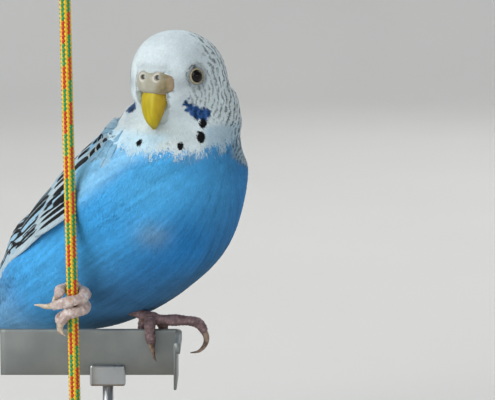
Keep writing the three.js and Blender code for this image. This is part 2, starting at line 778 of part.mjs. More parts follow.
const skullGrown = moved(skull(GAP), headToBird);
const bodyGrown = joined([trunkGrown, skullGrown]);
const tailSolid = largest(tail().subtract(trunkGrown));
const wingRight = rightWing();
const wings = { right: wingRight, left: wingRight.mirror([0, 1, 0]) };

const bodyGrownInRow = moved(bodyGrown, birdToRow);
const perchGrown = joined([trayRim(GAP), rope(GAP)]);

function add(group, name, solid, colour, roughness = 0.8, metalness = 0) {
  const material = new THREE.MeshStandardMaterial({ color: colour, roughness, metalness });
  const mesh = new THREE.Mesh(geometryOf(solid), material);
  mesh.name = name;
  group.add(mesh);
}

const COLOURS = {
  blue: 0x5aa9dc,
  white: 0xe8eef0,
  wing: 0x9fb4bf,
  tail: 0x2d4f8f,
  cere: 0xc9b39a,
  bill: 0xb9ab3c,
  eye: 0x0d0b0b,
  lid: 0xc4bba5,
  skin: 0xbfa3a0,
  claw: 0x8a7d72,
  tin: 0x8f938f,
  rope: 0xd8a53a,
  steel: 0xa8abad,
  wood: 0x9a7b58,
};

const root = new THREE.Group();
root.add(bird);
add(bird, "torso", torsoSolid, COLOURS.blue);
add(bird, "neck", neckSolid, COLOURS.white);
add(bird, "tail", tailSolid, COLOURS.tail);
add(head, "head", moved(headSolid, headToBird.clone().invert()), COLOURS.white);
add(head, "cere", largest(cereSolid), COLOURS.cere, 0.6);
add(head, "bill_upper", upperSolid, COLOURS.bill, 0.45);
add(head, "bill_lower", largest(lowerSolid), COLOURS.bill, 0.45);
for (const [name, side] of [["left", 1], ["right", -1]]) {
  add(head, "eye_" + name, moved(eyeball(), eyeFrame(side)), COLOURS.eye, 0.1);
  add(head, "eyelid_" + name, moved(turned(LID, 20), eyeFrame(side)), COLOURS.lid);
  const wing = largest(wings[name].subtract(bodyGrown).trimByPlane([0, side, 0], GAP));
  add(bird, "wing_" + name, wing, COLOURS.wing);
}
for (const name of ["left", "right"]) {
  const { toes } = FEET[name];
  const shin = leg(name, 0).subtract(joined([foot(name, GAP), bodyGrownInRow, perchGrown]));
  add(root, "leg_" + name, largest(shin), COLOURS.skin);
  const clawsGrown = toes.map((toe) => claw(toe, GAP));
  const grip = foot(name, 0).subtract(joined([perchGrown, bodyGrownInRow, ...clawsGrown]));
  add(root, "foot_" + name, largest(grip), COLOURS.skin);
  toes.forEach((toe, i) => {
    add(root, "claw_" + name + "_" + (i + 1), largest(claw(toe, 0).subtract(perchGrown)), COLOURS.claw, 0.5);
  });
}
add(root, "perch_tray_rim", trayRim(0), COLOURS.tin, 0.4, 0.8);
add(root, "perch_rope", rope(0), COLOURS.rope);
add(root, "stand_rod_perch", perchRod(), COLOURS.steel, 0.3, 1);
add(root, "stand_rod_rope", ropeRod(), COLOURS.steel, 0.3, 1);
add(root, "stand_base", base(), COLOURS.wood, 0.6);

export default root;
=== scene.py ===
# A life-size budgerigar on a cut corner of a tray's rim, holding a cut length of braided rope, on its stand.
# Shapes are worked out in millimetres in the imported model's frame and stored in metres.
import math

import bmesh
import bpy
import numpy as np
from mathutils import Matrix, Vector
from mathutils.bvhtree import BVHTree
from mathutils.kdtree import KDTree


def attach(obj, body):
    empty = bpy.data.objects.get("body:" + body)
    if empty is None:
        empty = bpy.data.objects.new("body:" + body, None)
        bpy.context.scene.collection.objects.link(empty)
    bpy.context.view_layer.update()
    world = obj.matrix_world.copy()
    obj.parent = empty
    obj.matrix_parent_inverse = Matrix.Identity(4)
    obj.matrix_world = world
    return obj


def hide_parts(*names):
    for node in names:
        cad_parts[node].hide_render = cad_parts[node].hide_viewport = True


MM = 0.001
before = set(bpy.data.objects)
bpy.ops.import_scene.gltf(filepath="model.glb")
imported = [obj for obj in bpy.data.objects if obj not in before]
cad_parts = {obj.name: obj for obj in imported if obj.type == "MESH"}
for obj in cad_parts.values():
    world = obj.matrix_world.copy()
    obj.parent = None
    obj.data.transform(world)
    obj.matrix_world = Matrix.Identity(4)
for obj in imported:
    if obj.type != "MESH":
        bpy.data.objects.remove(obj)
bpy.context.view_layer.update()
rng = np.random.default_rng(11)

# Sizes shared with the solids
GAP = 0.3
BASE_RADIUS = 46
BASE_HEIGHT = 8
CORNER = np.array([14.0, -9.0, 54.0])
HEADING = -38
HEAD_TURN = -84
BODY_PITCH = 34
TRUNK = np.array([-7.0, 4.0, 34.6])
NECK_X = 12.3
HEAD_UP = 35.8
EYE_RADIUS = 1.9
ROPE_RADIUS = 1.65
ROPE_BELOW = 21
ROPE_ABOVE = 94
ROPE_LEAN = 0.8
TRAY_SHEET = 0.8
TRAY_HEM = 1.8
TRAY_HEIGHT = 13
TRAY_LENGTH = 50
TRAY_RETURN = 20
ROD_RADIUS = 1.5
TAIL_REACH = 136
WING_REACH = 82

# along, x, z, pitch, half width, depth to the back, depth to the belly, share of the head's turn
STATIONS = [
    [-76, -63.0, -42.5, 34, 2.6, 1.9, 2.2, 0],
    [-68, -56.4, -38.0, 34, 5.8, 4.6, 5.2, 0],
    [-58, -48.1, -32.4, 34, 10.4, 9.2, 10.6, 0],
    [-46, -38.1, -25.7, 34, 15.4, 14.0, 16.6, 0],
    [-33, -27.4, -18.5, 34, 19.0, 17.8, 21.8, 0],
    [-20, -16.6, -11.2, 34, 21.4, 19.9, 24.4, 0],
    [-7, -5.8, -3.9, 34, 22.6, 21.0, 25.0, 0],
    [6, 4.6, 3.8, 40, 22.6, 21.0, 23.6, 0],
    [16, 9.4, 12.0, 54, 20.8, 19.4, 20.2, 0.06],
    [25, 10.8, 20.0, 72, 18.0, 17.2, 16.8, 0.3],
    [32, 11.4, 27.0, 84, 15.6, 15.2, 14.4, 0.7],
    [38, 12.6, 33.0, 90, 11.6, 11.4, 11.4, 1],
    [42, 13.2, 37.0, 90, 8.0, 8.0, 8.0, 1],
    [44, 13.4, 39.0, 90, 4.0, 4.0, 4.0, 1],
]
REAR = STATIONS[0][0]
TOP = STATIONS[-1][0]
# forward, half width, depth over the middle, depth under it
HEAD_STATIONS = [
    [-10.4, 1.6, 1.8, 3.0],
    [-9.4, 5.0, 5.0, 7.2],
    [-6.4, 8.8, 9.0, 11.4],
    [-2.0, 11.2, 12.2, 13.6],
    [3.5, 12.1, 13.8, 14.2],
    [8.6, 11.8, 13.8, 14.0],
    [12.4, 10.6, 12.6, 12.6],
    [15.4, 8.4, 10.2, 10.4],
    [17.3, 5.6, 6.8, 7.0],
    [18.2, 1.8, 2.4, 2.4],
]
HEAD_POWER = 0.92
# step, x, z, half width and half depth of the bill, from its root to its tip
BILL_UPPER = [
    [0, 12.6, -2.2, 4.0, 2.6],
    [1, 14.9, -3.0, 4.1, 2.8],
    [2, 16.2, -4.9, 3.9, 2.4],
    [3, 16.7, -7.4, 3.4, 2.0],
    [4, 16.7, -9.9, 2.3, 1.5],
    [5, 16.1, -12.2, 0.6, 0.5],
]
BILL_LOWER = [[0, 11.4, -8.0, 3.0, 1.9], [1, 13.2, -8.7, 2.7, 1.6], [2, 14.6, -9.1, 1.9, 1.0]]
# forward, half width and half height of the cere
CERE = [[11.6, 6.2, 3.0], [15.4, 6.3, 3.2], [17.4, 5.4, 2.9], [18.5, 3.7, 2.2], [18.9, 1.7, 1.0]]
CERE_Y = 0.7
CERE_Z = 0.2
NOSTRIL = np.array([18.5, 2.3, 2.3])
EYE = np.array([10.9, 10.05, 2.1])
EYE_OUT = np.array([0.36, 0.92, 0.1])
EYE_SIDES = 64
LID_SIDES = 120
# along, least half width, least height, lowest angle, highest angle
WING_FORM = [
    [-90, 1.6, 4.4, 64, 90],
    [-78, 3.9, 5.8, 54, 90],
    [-66, 7.2, 9.0, 44, 90],
    [-52, 12.0, 13.2, 32, 90],
    [-38, 0, 17.2, 24, 90],
    [-20, 0, 0, 17, 90],
    [0, 0, 0, 13, 88],
    [12, 0, 0, 14, 76],
    [22, 0, 0, 20, 56],
    [27, 0, 0, 28, 42],
]


# Numbers
def smooth(rows, column, t):
    """Value at t of a smooth curve through the column of a table whose rows start with t."""
    rows = np.asarray(rows, float)
    x, y = rows[:, 0], rows[:, column]
    slope = np.gradient(y) / np.gradient(x)
    t = np.clip(np.asarray(t, float), x[0], x[-1])
    i = np.clip(np.searchsorted(x, t, side="right") - 1, 0, len(x) - 2)
    step = x[i + 1] - x[i]
    u = (t - x[i]) / step
    return (
        y[i] * (2 * u**3 - 3 * u**2 + 1)
        + slope[i] * step * (u**3 - 2 * u**2 + u)
        + y[i + 1] * (3 * u**2 - 2 * u**3)
        + slope[i + 1] * step * (u**3 - u**2)
    )


def step01(low, high, value):
    t = np.clip((value - low) / (high - low), 0, 1)
    return t * t * (3 - 2 * t)


def unit(v):
    return v / np.maximum(np.linalg.norm(v, axis=-1, keepdims=True), 1e-9)


def mix(a, b, share):
    return a + (b - a) * share


def tinge(colour, towards, share):
    """Colours mixed towards one more, named or given by its code, each by its own share."""
    return mix(colour, srgb(towards) if isinstance(towards, str) else towards, share[:, None])


def bell(off, width):
    return np.exp(-((off / width) ** 2))


def turn_of(p):
    """Angle round the vertical axis from straight ahead, in degrees."""
    return np.degrees(np.arctan2(p[:, 1], p[:, 0]))


def full_turn(count):
    return 2 * math.pi * np.arange(count) / count


def quarter(count):
    return np.linspace(0, math.pi / 2, count)


def circle(angle, a, c):
    return np.cos(angle)[:, None] * a + np.sin(angle)[:, None] * c


def turn_z(p, degrees):
    c, s = np.cos(np.radians(degrees)), np.sin(np.radians(degrees))
    return np.stack([p[..., 0] * c - p[..., 1] * s, p[..., 0] * s + p[..., 1] * c, p[..., 2]], axis=-1)


BIRD_AT = CORNER + TRUNK
HEAD_AT = np.array([NECK_X, 0, HEAD_UP])
PITCH = math.radians(BODY_PITCH)
ALONG = np.array([math.cos(PITCH), 0, math.sin(PITCH)])
BACK = np.array([-math.sin(PITCH), 0, math.cos(PITCH)])
FORWARD = np.array([1.0, 0.0, 0.0])
LEFT = np.array([0.0, 1.0, 0.0])
UP = np.array([0.0, 0.0, 1.0])


def bird_to_row(p):
    return turn_z(p, HEADING) + BIRD_AT


def row_to_bird(p):
    return turn_z(p - BIRD_AT, -HEADING)


def head_to_row(p):
    return bird_to_row(turn_z(p, HEAD_TURN) + HEAD_AT)


def row_to_head(p):
    return turn_z(row_to_bird(p) - HEAD_AT, -HEAD_TURN)


def wobble(p, size, seed, count=24):
    """Smooth noise between about -1 and 1 with features of a size in millimetres."""
    draw = np.random.default_rng(seed)
    waves = draw.normal(size=(count, 3)) * (2.2 / size)
    phases = draw.uniform(0, 2 * math.pi, count)
    total = np.zeros(p.shape[:-1])
    for wave, phase in zip(waves, phases):
        total += np.cos(p @ wave + phase)
    return total / math.sqrt(count / 2) * 0.7


def srgb(code):
    value = np.array([int(code[i : i + 2], 16) / 255 for i in (0, 2, 4)])
    return np.where(value <= 0.04045, value / 12.92, ((value + 0.055) / 1.055) ** 2.4)


# Meshes
def new_object(name, verts, faces, material):
    """An object from points in millimetres and a list of equal-sided faces or of mixed ones."""
    mesh = bpy.data.meshes.new(name)
    if isinstance(faces, np.ndarray):
        sides = faces.shape[1]
        mesh.vertices.add(len(verts))
        mesh.vertices.foreach_set("co", (np.asarray(verts) * MM).astype(np.float32).ravel())
        mesh.loops.add(faces.size)
        mesh.loops.foreach_set("vertex_index", faces.astype(np.int32).ravel())
        mesh.polygons.add(len(faces))
        mesh.polygons.foreach_set("loop_start", (np.arange(len(faces)) * sides).astype(np.int32))
        mesh.update(calc_edges=True)
    else:
        mesh.from_pydata((np.asarray(verts) * MM).tolist(), [], faces)
    mesh.validate()
    mesh.shade_smooth()
    mesh.materials.append(material)
    piece = bpy.data.objects.new(name, mesh)
    bpy.context.scene.collection.objects.link(piece)
    return piece


def points_of(mesh):
    flat = np.empty(len(mesh.vertices) * 3, np.float32)
    mesh.vertices.foreach_get("co", flat)
    return flat.reshape(-1, 3).astype(float) / MM


def set_attribute(mesh, name, kind, values):
    layer = mesh.attributes.new(name, kind, "POINT")
    key = {"FLOAT": "value", "FLOAT_COLOR": "color", "FLOAT_VECTOR": "vector"}[kind]
    layer.data.foreach_set(key, np.asarray(values, np.float32).ravel())


def set_colours(mesh, name, colours):
    set_attribute(mesh, name, "FLOAT_COLOR", np.column_stack([colours, np.ones(len(colours))]))


def set_bars(mesh, phase, strength):
    set_attribute(mesh, "bars", "FLOAT_VECTOR", np.column_stack([phase, strength, 0 * phase]))


def ring_faces(rings, sides, cap=True, start=0):
    """Faces of a tube of rings, closed by one flat face at both ends."""
    i, j = np.meshgrid(np.arange(rings - 1), np.arange(sides), indexing="ij")
    k = (j + 1) % sides
    low, high = start + i * sides, start + (i + 1) * sides
    faces = np.stack([low + j, low + k, high + k, high + j], -1).reshape(-1, 4).tolist()
    if cap:
        faces.append([start + n for n in range(sides - 1, -1, -1)])
        faces.append([start + (rings - 1) * sides + n for n in range(sides)])
    return faces


def ellipse(at, side, up, width, high, low, count, power=1.0, start=0.0):
    angle = start + full_turn(count)
    bent = lambda v: np.sign(v) * np.abs(v) ** power
    aside = bent(np.cos(angle)) * width
    rise = bent(np.sin(angle))
    rise = rise * np.where(rise > 0, high, low)
    return at + aside[:, None] * side + rise[:, None] * up


def loft_of(rings):
    return np.concatenate(rings), ring_faces(len(rings), len(rings[0]))


def ball_form(centre, radii, sides=24, rows=16):
    rings = []
    for lat in np.linspace(-math.pi / 2 + 0.05, math.pi / 2 - 0.05, rows):
        wide, long = radii[0] * math.cos(lat), radii[1] * math.cos(lat)
        middle = centre + UP * math.sin(lat) * radii[2]
        rings.append(ellipse(middle, FORWARD, LEFT, wide, long, long, sides))
    return loft_of(rings)


def curve_through(points, count):
    """Even spots along a smooth curve through the points."""
    points = np.asarray(points, float)
    knots = np.concatenate([[0], np.cumsum(np.linalg.norm(np.diff(points, axis=0), axis=1) ** 0.5)])
    table = np.column_stack([knots, points])
    fine = np.linspace(0, knots[-1], 400)
    path = np.stack([smooth(table, k, fine) for k in (1, 2, 3)], -1)
    run = np.concatenate([[0], np.cumsum(np.linalg.norm(np.diff(path, axis=0), axis=1))])
    even = np.linspace(0, run[-1], count)
    return np.stack([np.interp(even, run, path[:, k]) for k in range(3)], -1)


def tube(path, radii, sides, swell=None):
    """Points and faces of a closed round tube. swell(t, angle) adds to the radius."""
    count = len(path)
    t = np.linspace(0, 1, count)
    tangent = unit(np.gradient(path, axis=0))
    up = np.cross(tangent[0], UP if abs(tangent[0][2]) < 0.9 else LEFT)
    verts = []
    angle = full_turn(sides)
    table = np.column_stack([np.linspace(0, 1, len(radii)), radii])
    for i in range(count):
        up = up - tangent[i] * np.dot(up, tangent[i])
        up = up / np.linalg.norm(up)
        side = np.cross(up, tangent[i])
        reach = smooth(table, 1, t[i]) + (swell(t[i], angle) if swell else 0)
        verts.append(path[i] + circle(angle, side, up) * np.broadcast_to(reach, angle.shape)[:, None])
    return np.concatenate(verts), ring_faces(count, sides)


def together(parts):
    verts, faces, at = [], [], 0
    for v, f in parts:
        verts.append(v)
        faces += [[n + at for n in face] for face in f]
        at += len(v)
    return np.concatenate(verts), faces


def remeshed(name, verts, faces, material, voxel, rounds):
    """One closed surface round overlapping closed forms, smoothed a little."""
    source = new_object(name + "_form", verts, faces, material)
    remesh = source.modifiers.new("remesh", "REMESH")
    remesh.mode = "VOXEL"
    remesh.voxel_size = voxel * MM
    remesh.use_smooth_shade = True
    soften = source.modifiers.new("soften", "SMOOTH")
    soften.iterations = rounds
    soften.factor = 0.5
    graph = bpy.context.evaluated_depsgraph_get()
    mesh = bpy.data.meshes.new_from_object(source.evaluated_get(graph))
    mesh.name = name
    bpy.data.objects.remove(source)
    piece = bpy.data.objects.new(name, mesh)
    bpy.context.scene.collection.objects.link(piece)
    if not mesh.materials:
        mesh.materials.append(material)
    return piece


def move_points(mesh, points):
    mesh.vertices.foreach_set("co", (points * MM).astype(np.float32).ravel())
    mesh.update()


def settle(piece, slot, *nodes):
    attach(piece, "root")
    if nodes:
        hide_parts(*nodes)


# Materials
class Surface:
    """A procedural material that is built node by node."""

    def __init__(self, name, roughness=0.6, **constants):
        self.material = bpy.data.materials.new(name)
        self.material.use_nodes = True
        self.tree = self.material.node_tree
        self.shader = self.tree.nodes["Principled BSDF"]
        self.shader.inputs["Roughness"].default_value = roughness
        for key, value in constants.items():
            self.shader.inputs[key.replace("_", " ")].default_value = value

    def put(self, socket, value):
        if isinstance(value, str):
            value = srgb(value)
        if isinstance(value, bpy.types.NodeSocket):
            self.tree.links.new(value, socket)
        elif isinstance(value, (np.ndarray, list, tuple)) and len(value) == 3 and socket.type == "RGBA":
            socket.default_value = (*value, 1)
        else:
            socket.default_value = value

    def node(self, kind, inputs=(), **settings):
        node = self.tree.nodes.new("ShaderNode" + kind)
        for key, value in settings.items():
            setattr(node, key, value)
        for key, value in dict(inputs).items():
            self.put(node.inputs[key], value)
        return node

    def math(self, operation, a, b=0.0, c=0.0):
        node = self.node("Math", {0: a, 1: b, 2: c}, operation=operation)
        return node.outputs[0]

    def times(self, a, b):
        return self.math("MULTIPLY", a, b)

    def plus(self, a, b):
        return self.math("ADD", a, b)

    def less(self, a, b):
        return self.math("SUBTRACT", a, b)

    def ramp(self, value, low, high):
        node = self.node(
            "MapRange", {"Value": value, "From Min": low, "From Max": high}, interpolation_type="SMOOTHSTEP"
        )
        return node.outputs[0]

    def blend(self, share, a, b):
        node = self.tree.nodes.new("ShaderNodeMix")
        node.data_type = "RGBA"
        self.put(node.inputs[0], share)
        self.put(node.inputs[6], a)
        self.put(node.inputs[7], b)
        return node.outputs[2]

    def place(self):
        return self.node("TexCoord").outputs["Object"]

    def noise(self, scale, detail=3.0, vector=None, roughness=0.5):
        node = self.node("TexNoise", {"Scale": scale, "Detail": detail, "Roughness": roughness})
        self.tree.links.new(vector if vector is not None else self.place(), node.inputs["Vector"])
        return node.outputs[0]

    def attribute(self, name):
        return self.node("Attribute", attribute_name=name)

    def colour(self, value):
        self.put(self.shader.inputs["Base Color"], value)

    def rough(self, value):
        self.put(self.shader.inputs["Roughness"], value)

    def bump(self, height, distance, strength=1.0):
        node = self.node("Bump", {"Strength": strength, "Distance": distance, "Height": height})
        self.tree.links.new(node.outputs[0], self.shader.inputs["Normal"])


def plumage_surface():
    s = Surface("plumage", 0.9, Sheen_Weight=0.05, Sheen_Roughness=0.5, Specular_IOR_Level=0.2)
    tint = s.attribute("tint").outputs["Color"]
    bars = s.node("SeparateXYZ", {0: s.attribute("bars").outputs["Vector"]})
    drift = s.math("MULTIPLY_ADD", s.noise(420.0, 2.0), 1.0, -0.5)
    phase = s.plus(bars.outputs[0], drift)
    wave = s.math("SINE", s.times(phase, 2 * math.pi))
    level = s.math("MULTIPLY_ADD", s.noise(900.0, 2.0), 0.9, wave)
    dark = s.times(s.ramp(level, 0.45, 0.95), bars.outputs[1])
    base = s.blend(s.ramp(s.noise(260.0, 4.0), 0.3, 0.75), s.blend(0.12, tint, (0, 0, 0)), tint)
    broken = s.ramp(s.noise(800.0, 1.0), 0.34, 0.5)
    s.colour(s.blend(s.times(dark, broken), base, "1b2126"))
    s.bump(s.noise(2600.0, 3.0), 0.00003, 0.4)
    return s.material


def vane_surface():
    """UV x runs across a vane and y to its tip.

    The attribute look holds the pale edge, the pale tip, the start and the strength of the dark field,
    and lean shifts the field to one side.
    """
    s = Surface("vane_feather", 0.7, Specular_IOR_Level=0.2)
    uv = s.node("SeparateXYZ", {0: s.node("UVMap", uv_map="vane").outputs[0]})
    look = s.attribute("look")
    parts = s.node("SeparateColor", {0: look.outputs["Color"]})
    across = s.math("MULTIPLY_ADD", uv.outputs[0], 2.0, -1.0)
    off = s.math("ABSOLUTE", across)
    # Barbs run outwards and towards the tip.
    barb = s.less(uv.outputs[1], s.times(off, 0.12))
    combed = s.node("CombineXYZ", {0: s.times(barb, 60.0), 1: s.times(off, 2.0)})
    strand = s.noise(1.0, 2.0, combed.outputs[0])
    shift = s.math("MULTIPLY_ADD", strand, 0.22, -0.11)
    beside = s.math("ABSOLUTE", s.less(across, s.attribute("lean").outputs["Fac"]))
    edge = s.plus(s.less(1.0, beside), shift)
    # The dark field is a rounded drop between the pale base, sides and tip.
    wide = s.math("DIVIDE", s.less(1.0, edge), s.less(1.0, parts.outputs[0]))
    last = s.less(1.0, parts.outputs[1])
    middle = s.times(s.plus(last, parts.outputs[2]), 0.5)
    half = s.times(s.less(last, parts.outputs[2]), 0.5)
    long = s.math("DIVIDE", s.math("ABSOLUTE", s.less(uv.outputs[1], middle)), half)
    cubes = s.plus(s.math("POWER", wide, 3.0), s.math("POWER", long, 3.0))
    field = s.less(1.0, s.ramp(cubes, 0.8, 1.15))
    field = s.times(field, look.outputs["Alpha"])
    tint = s.attribute("tint").outputs["Color"]
    pale = s.blend(s.ramp(strand, 0.35, 0.7), s.blend(0.22, tint, (0, 0, 0)), tint)
    shaft = s.less(1.0, s.ramp(off, 0.03, 0.08))
    body = s.blend(field, pale, "03070f")
    s.colour(s.blend(s.times(shaft, 0.55), body, "2c2a28"))
    comb = s.math("SINE", s.times(barb, 420.0))
    s.bump(s.plus(s.times(comb, 0.5), strand), 0.0001, 0.6)
    s.rough(s.math("MULTIPLY_ADD", strand, 0.2, 0.6))
    return s.material


def simple_surface(name, low, high, scale, roughness, depth=0.0001, detail=4.0, **constants):
    s = Surface(name, roughness, **constants)
    grain = s.noise(scale, detail)
    s.colour(s.blend(s.ramp(grain, 0.3, 0.7), low, high))
    s.bump(s.noise(scale * 3, detail), depth, 0.6)
    s.rough(s.math("MULTIPLY_ADD", grain, 0.2, roughness - 0.1))
    return s.material


# Camera, floor and light
VIEW_UP = 8
VIEW_DISTANCE = 650
VIEW_RIGHT = 19.2
VIEW_OVER = 36.1
VIEW_WIDTH = 495 * 0.28
FLOOR_SIDES = 72


def studio():
    tilt = math.radians(VIEW_UP)
    look = np.array([0, math.cos(tilt), -math.sin(tilt)])
    over = np.array([0, math.sin(tilt), math.cos(tilt)])
    target = CORNER + np.array([VIEW_RIGHT, 0, 0]) + over * VIEW_OVER
    data = bpy.data.cameras.new("camera")
    data.sensor_width = 36
    data.lens = 36 * VIEW_DISTANCE / VIEW_WIDTH
    data.clip_start = 0.05
    camera = bpy.data.objects.new("camera", data)
    camera.location = (target - look * VIEW_DISTANCE) * MM
    camera.rotation_euler = (math.pi / 2 - tilt, 0, 0)
    bpy.context.scene.collection.objects.link(camera)
    bpy.context.scene.camera = camera

    # A round floor that rises in a curve far behind the model
    rings = [(r, 0) for r in (0.5, 200, 500, 900, 1200)]
    rings += [(1200 + 400 * math.sin(k), 400 * (1 - math.cos(k))) for k in np.linspace(0.15, math.pi / 2, 10)]
    rings.append((1600, 900))
    bowl = np.concatenate([circle(full_turn(FLOOR_SIDES), FORWARD, LEFT) * r + UP * z for r, z in rings])
    pale = simple_surface("floor", "e6e5e2", "eae9e6", 3.0, 0.9)
    new_object("floor", bowl, ring_faces(len(rings), FLOOR_SIDES)[:-1], pale)

    world = bpy.data.worlds.new("studio")
    world.use_nodes = True
    world.node_tree.nodes["Background"].inputs[0].default_value = (0.78, 0.88, 1.0, 1)
    world.node_tree.nodes["Background"].inputs[1].default_value = 0.25
    bpy.context.scene.world = world
    bpy.context.scene.view_settings.view_transform = "Standard"
    middle = Vector(tuple((CORNER + [0, 0, 40]) * MM))
    for name, at, size, power, tint in [
        ("key", (-0.9, -0.6, 0.95), 1.5, 17.5, (1, 0.99, 0.97)),
        ("fill", (0.7, -1.0, 0.45), 0.9, 1.6, (0.93, 0.97, 1)),
        ("rim", (0.45, 0.85, 0.8), 0.6, 3.5, (1, 0.98, 0.95)),
    ]:
        lamp = bpy.data.lights.new(name, "AREA")
        lamp.shape = "DISK"
        lamp.size = size
        lamp.energy = power
        lamp.color = tint
        light = bpy.data.objects.new(name, lamp)
        light.location = at
        light.rotation_euler = (middle - Vector(at)).to_track_quat("-Z", "Y").to_euler()
        bpy.context.scene.collection.objects.link(light)


studio()

# Markings
WHITE = srgb("e2f0f5")
BLUE = srgb("1f88d4")
PALE_BLUE = srgb("4cb0ee")
DEEP_BLUE = srgb("1a6fae")
GREY_BLUE = srgb("346a86")
VIOLET = srgb("1f5a9c")
BLACK = srgb("0c0e12")
# angle round the head from its front, and the height of the bib's lower edge under the head's middle
BIB_EDGE = [[-180, -14], [-100, -12], [-60, -14.5], [-35, -16.4], [-15, -18.6], [5, -19.2], [20, -19.3],
            [40, -19.0], [60, -18.3], [80, -17.6], [100, -16.8], [130, -15.5], [180, -14]]
# angle round the head and the height of the lower edge of the bars behind the face
BAR_EDGE = [[25, -2.0], [33, -4.2], [44, -6.8], [57, -9.4], [75, -11.0], [95, -13.0], [120, -17]]
# angle round the head, reach, height, half width and half height of each dark throat spot
SPOTS = [(27, 17, -16.8, 0.85, 1.2), (-9.5, 17.5, -16.2, 0.8, 0.95), (49, 15, -14.6, 1.25, 1.7),
         (-58, 16, -14.5, 1.25, 1.7), (52.5, 13.9, -11, 1.15, 1.3), (-66, 15, -11, 1.15, 1.3)]
PATCH = np.array([[13.7, 9.0, -4.7], [10.6, 9.9, -6.9], [8.3, 11.2, -8.8]])
FACE = np.array([14.5, 0.0, -3.5])
# Spacing of the bars behind the face, down the nape and over the back, in millimetres
FACE_BARS, NAPE_BARS, BACK_BARS = 1.05, 1.45, 3.2
BAR_CHANGE = 15


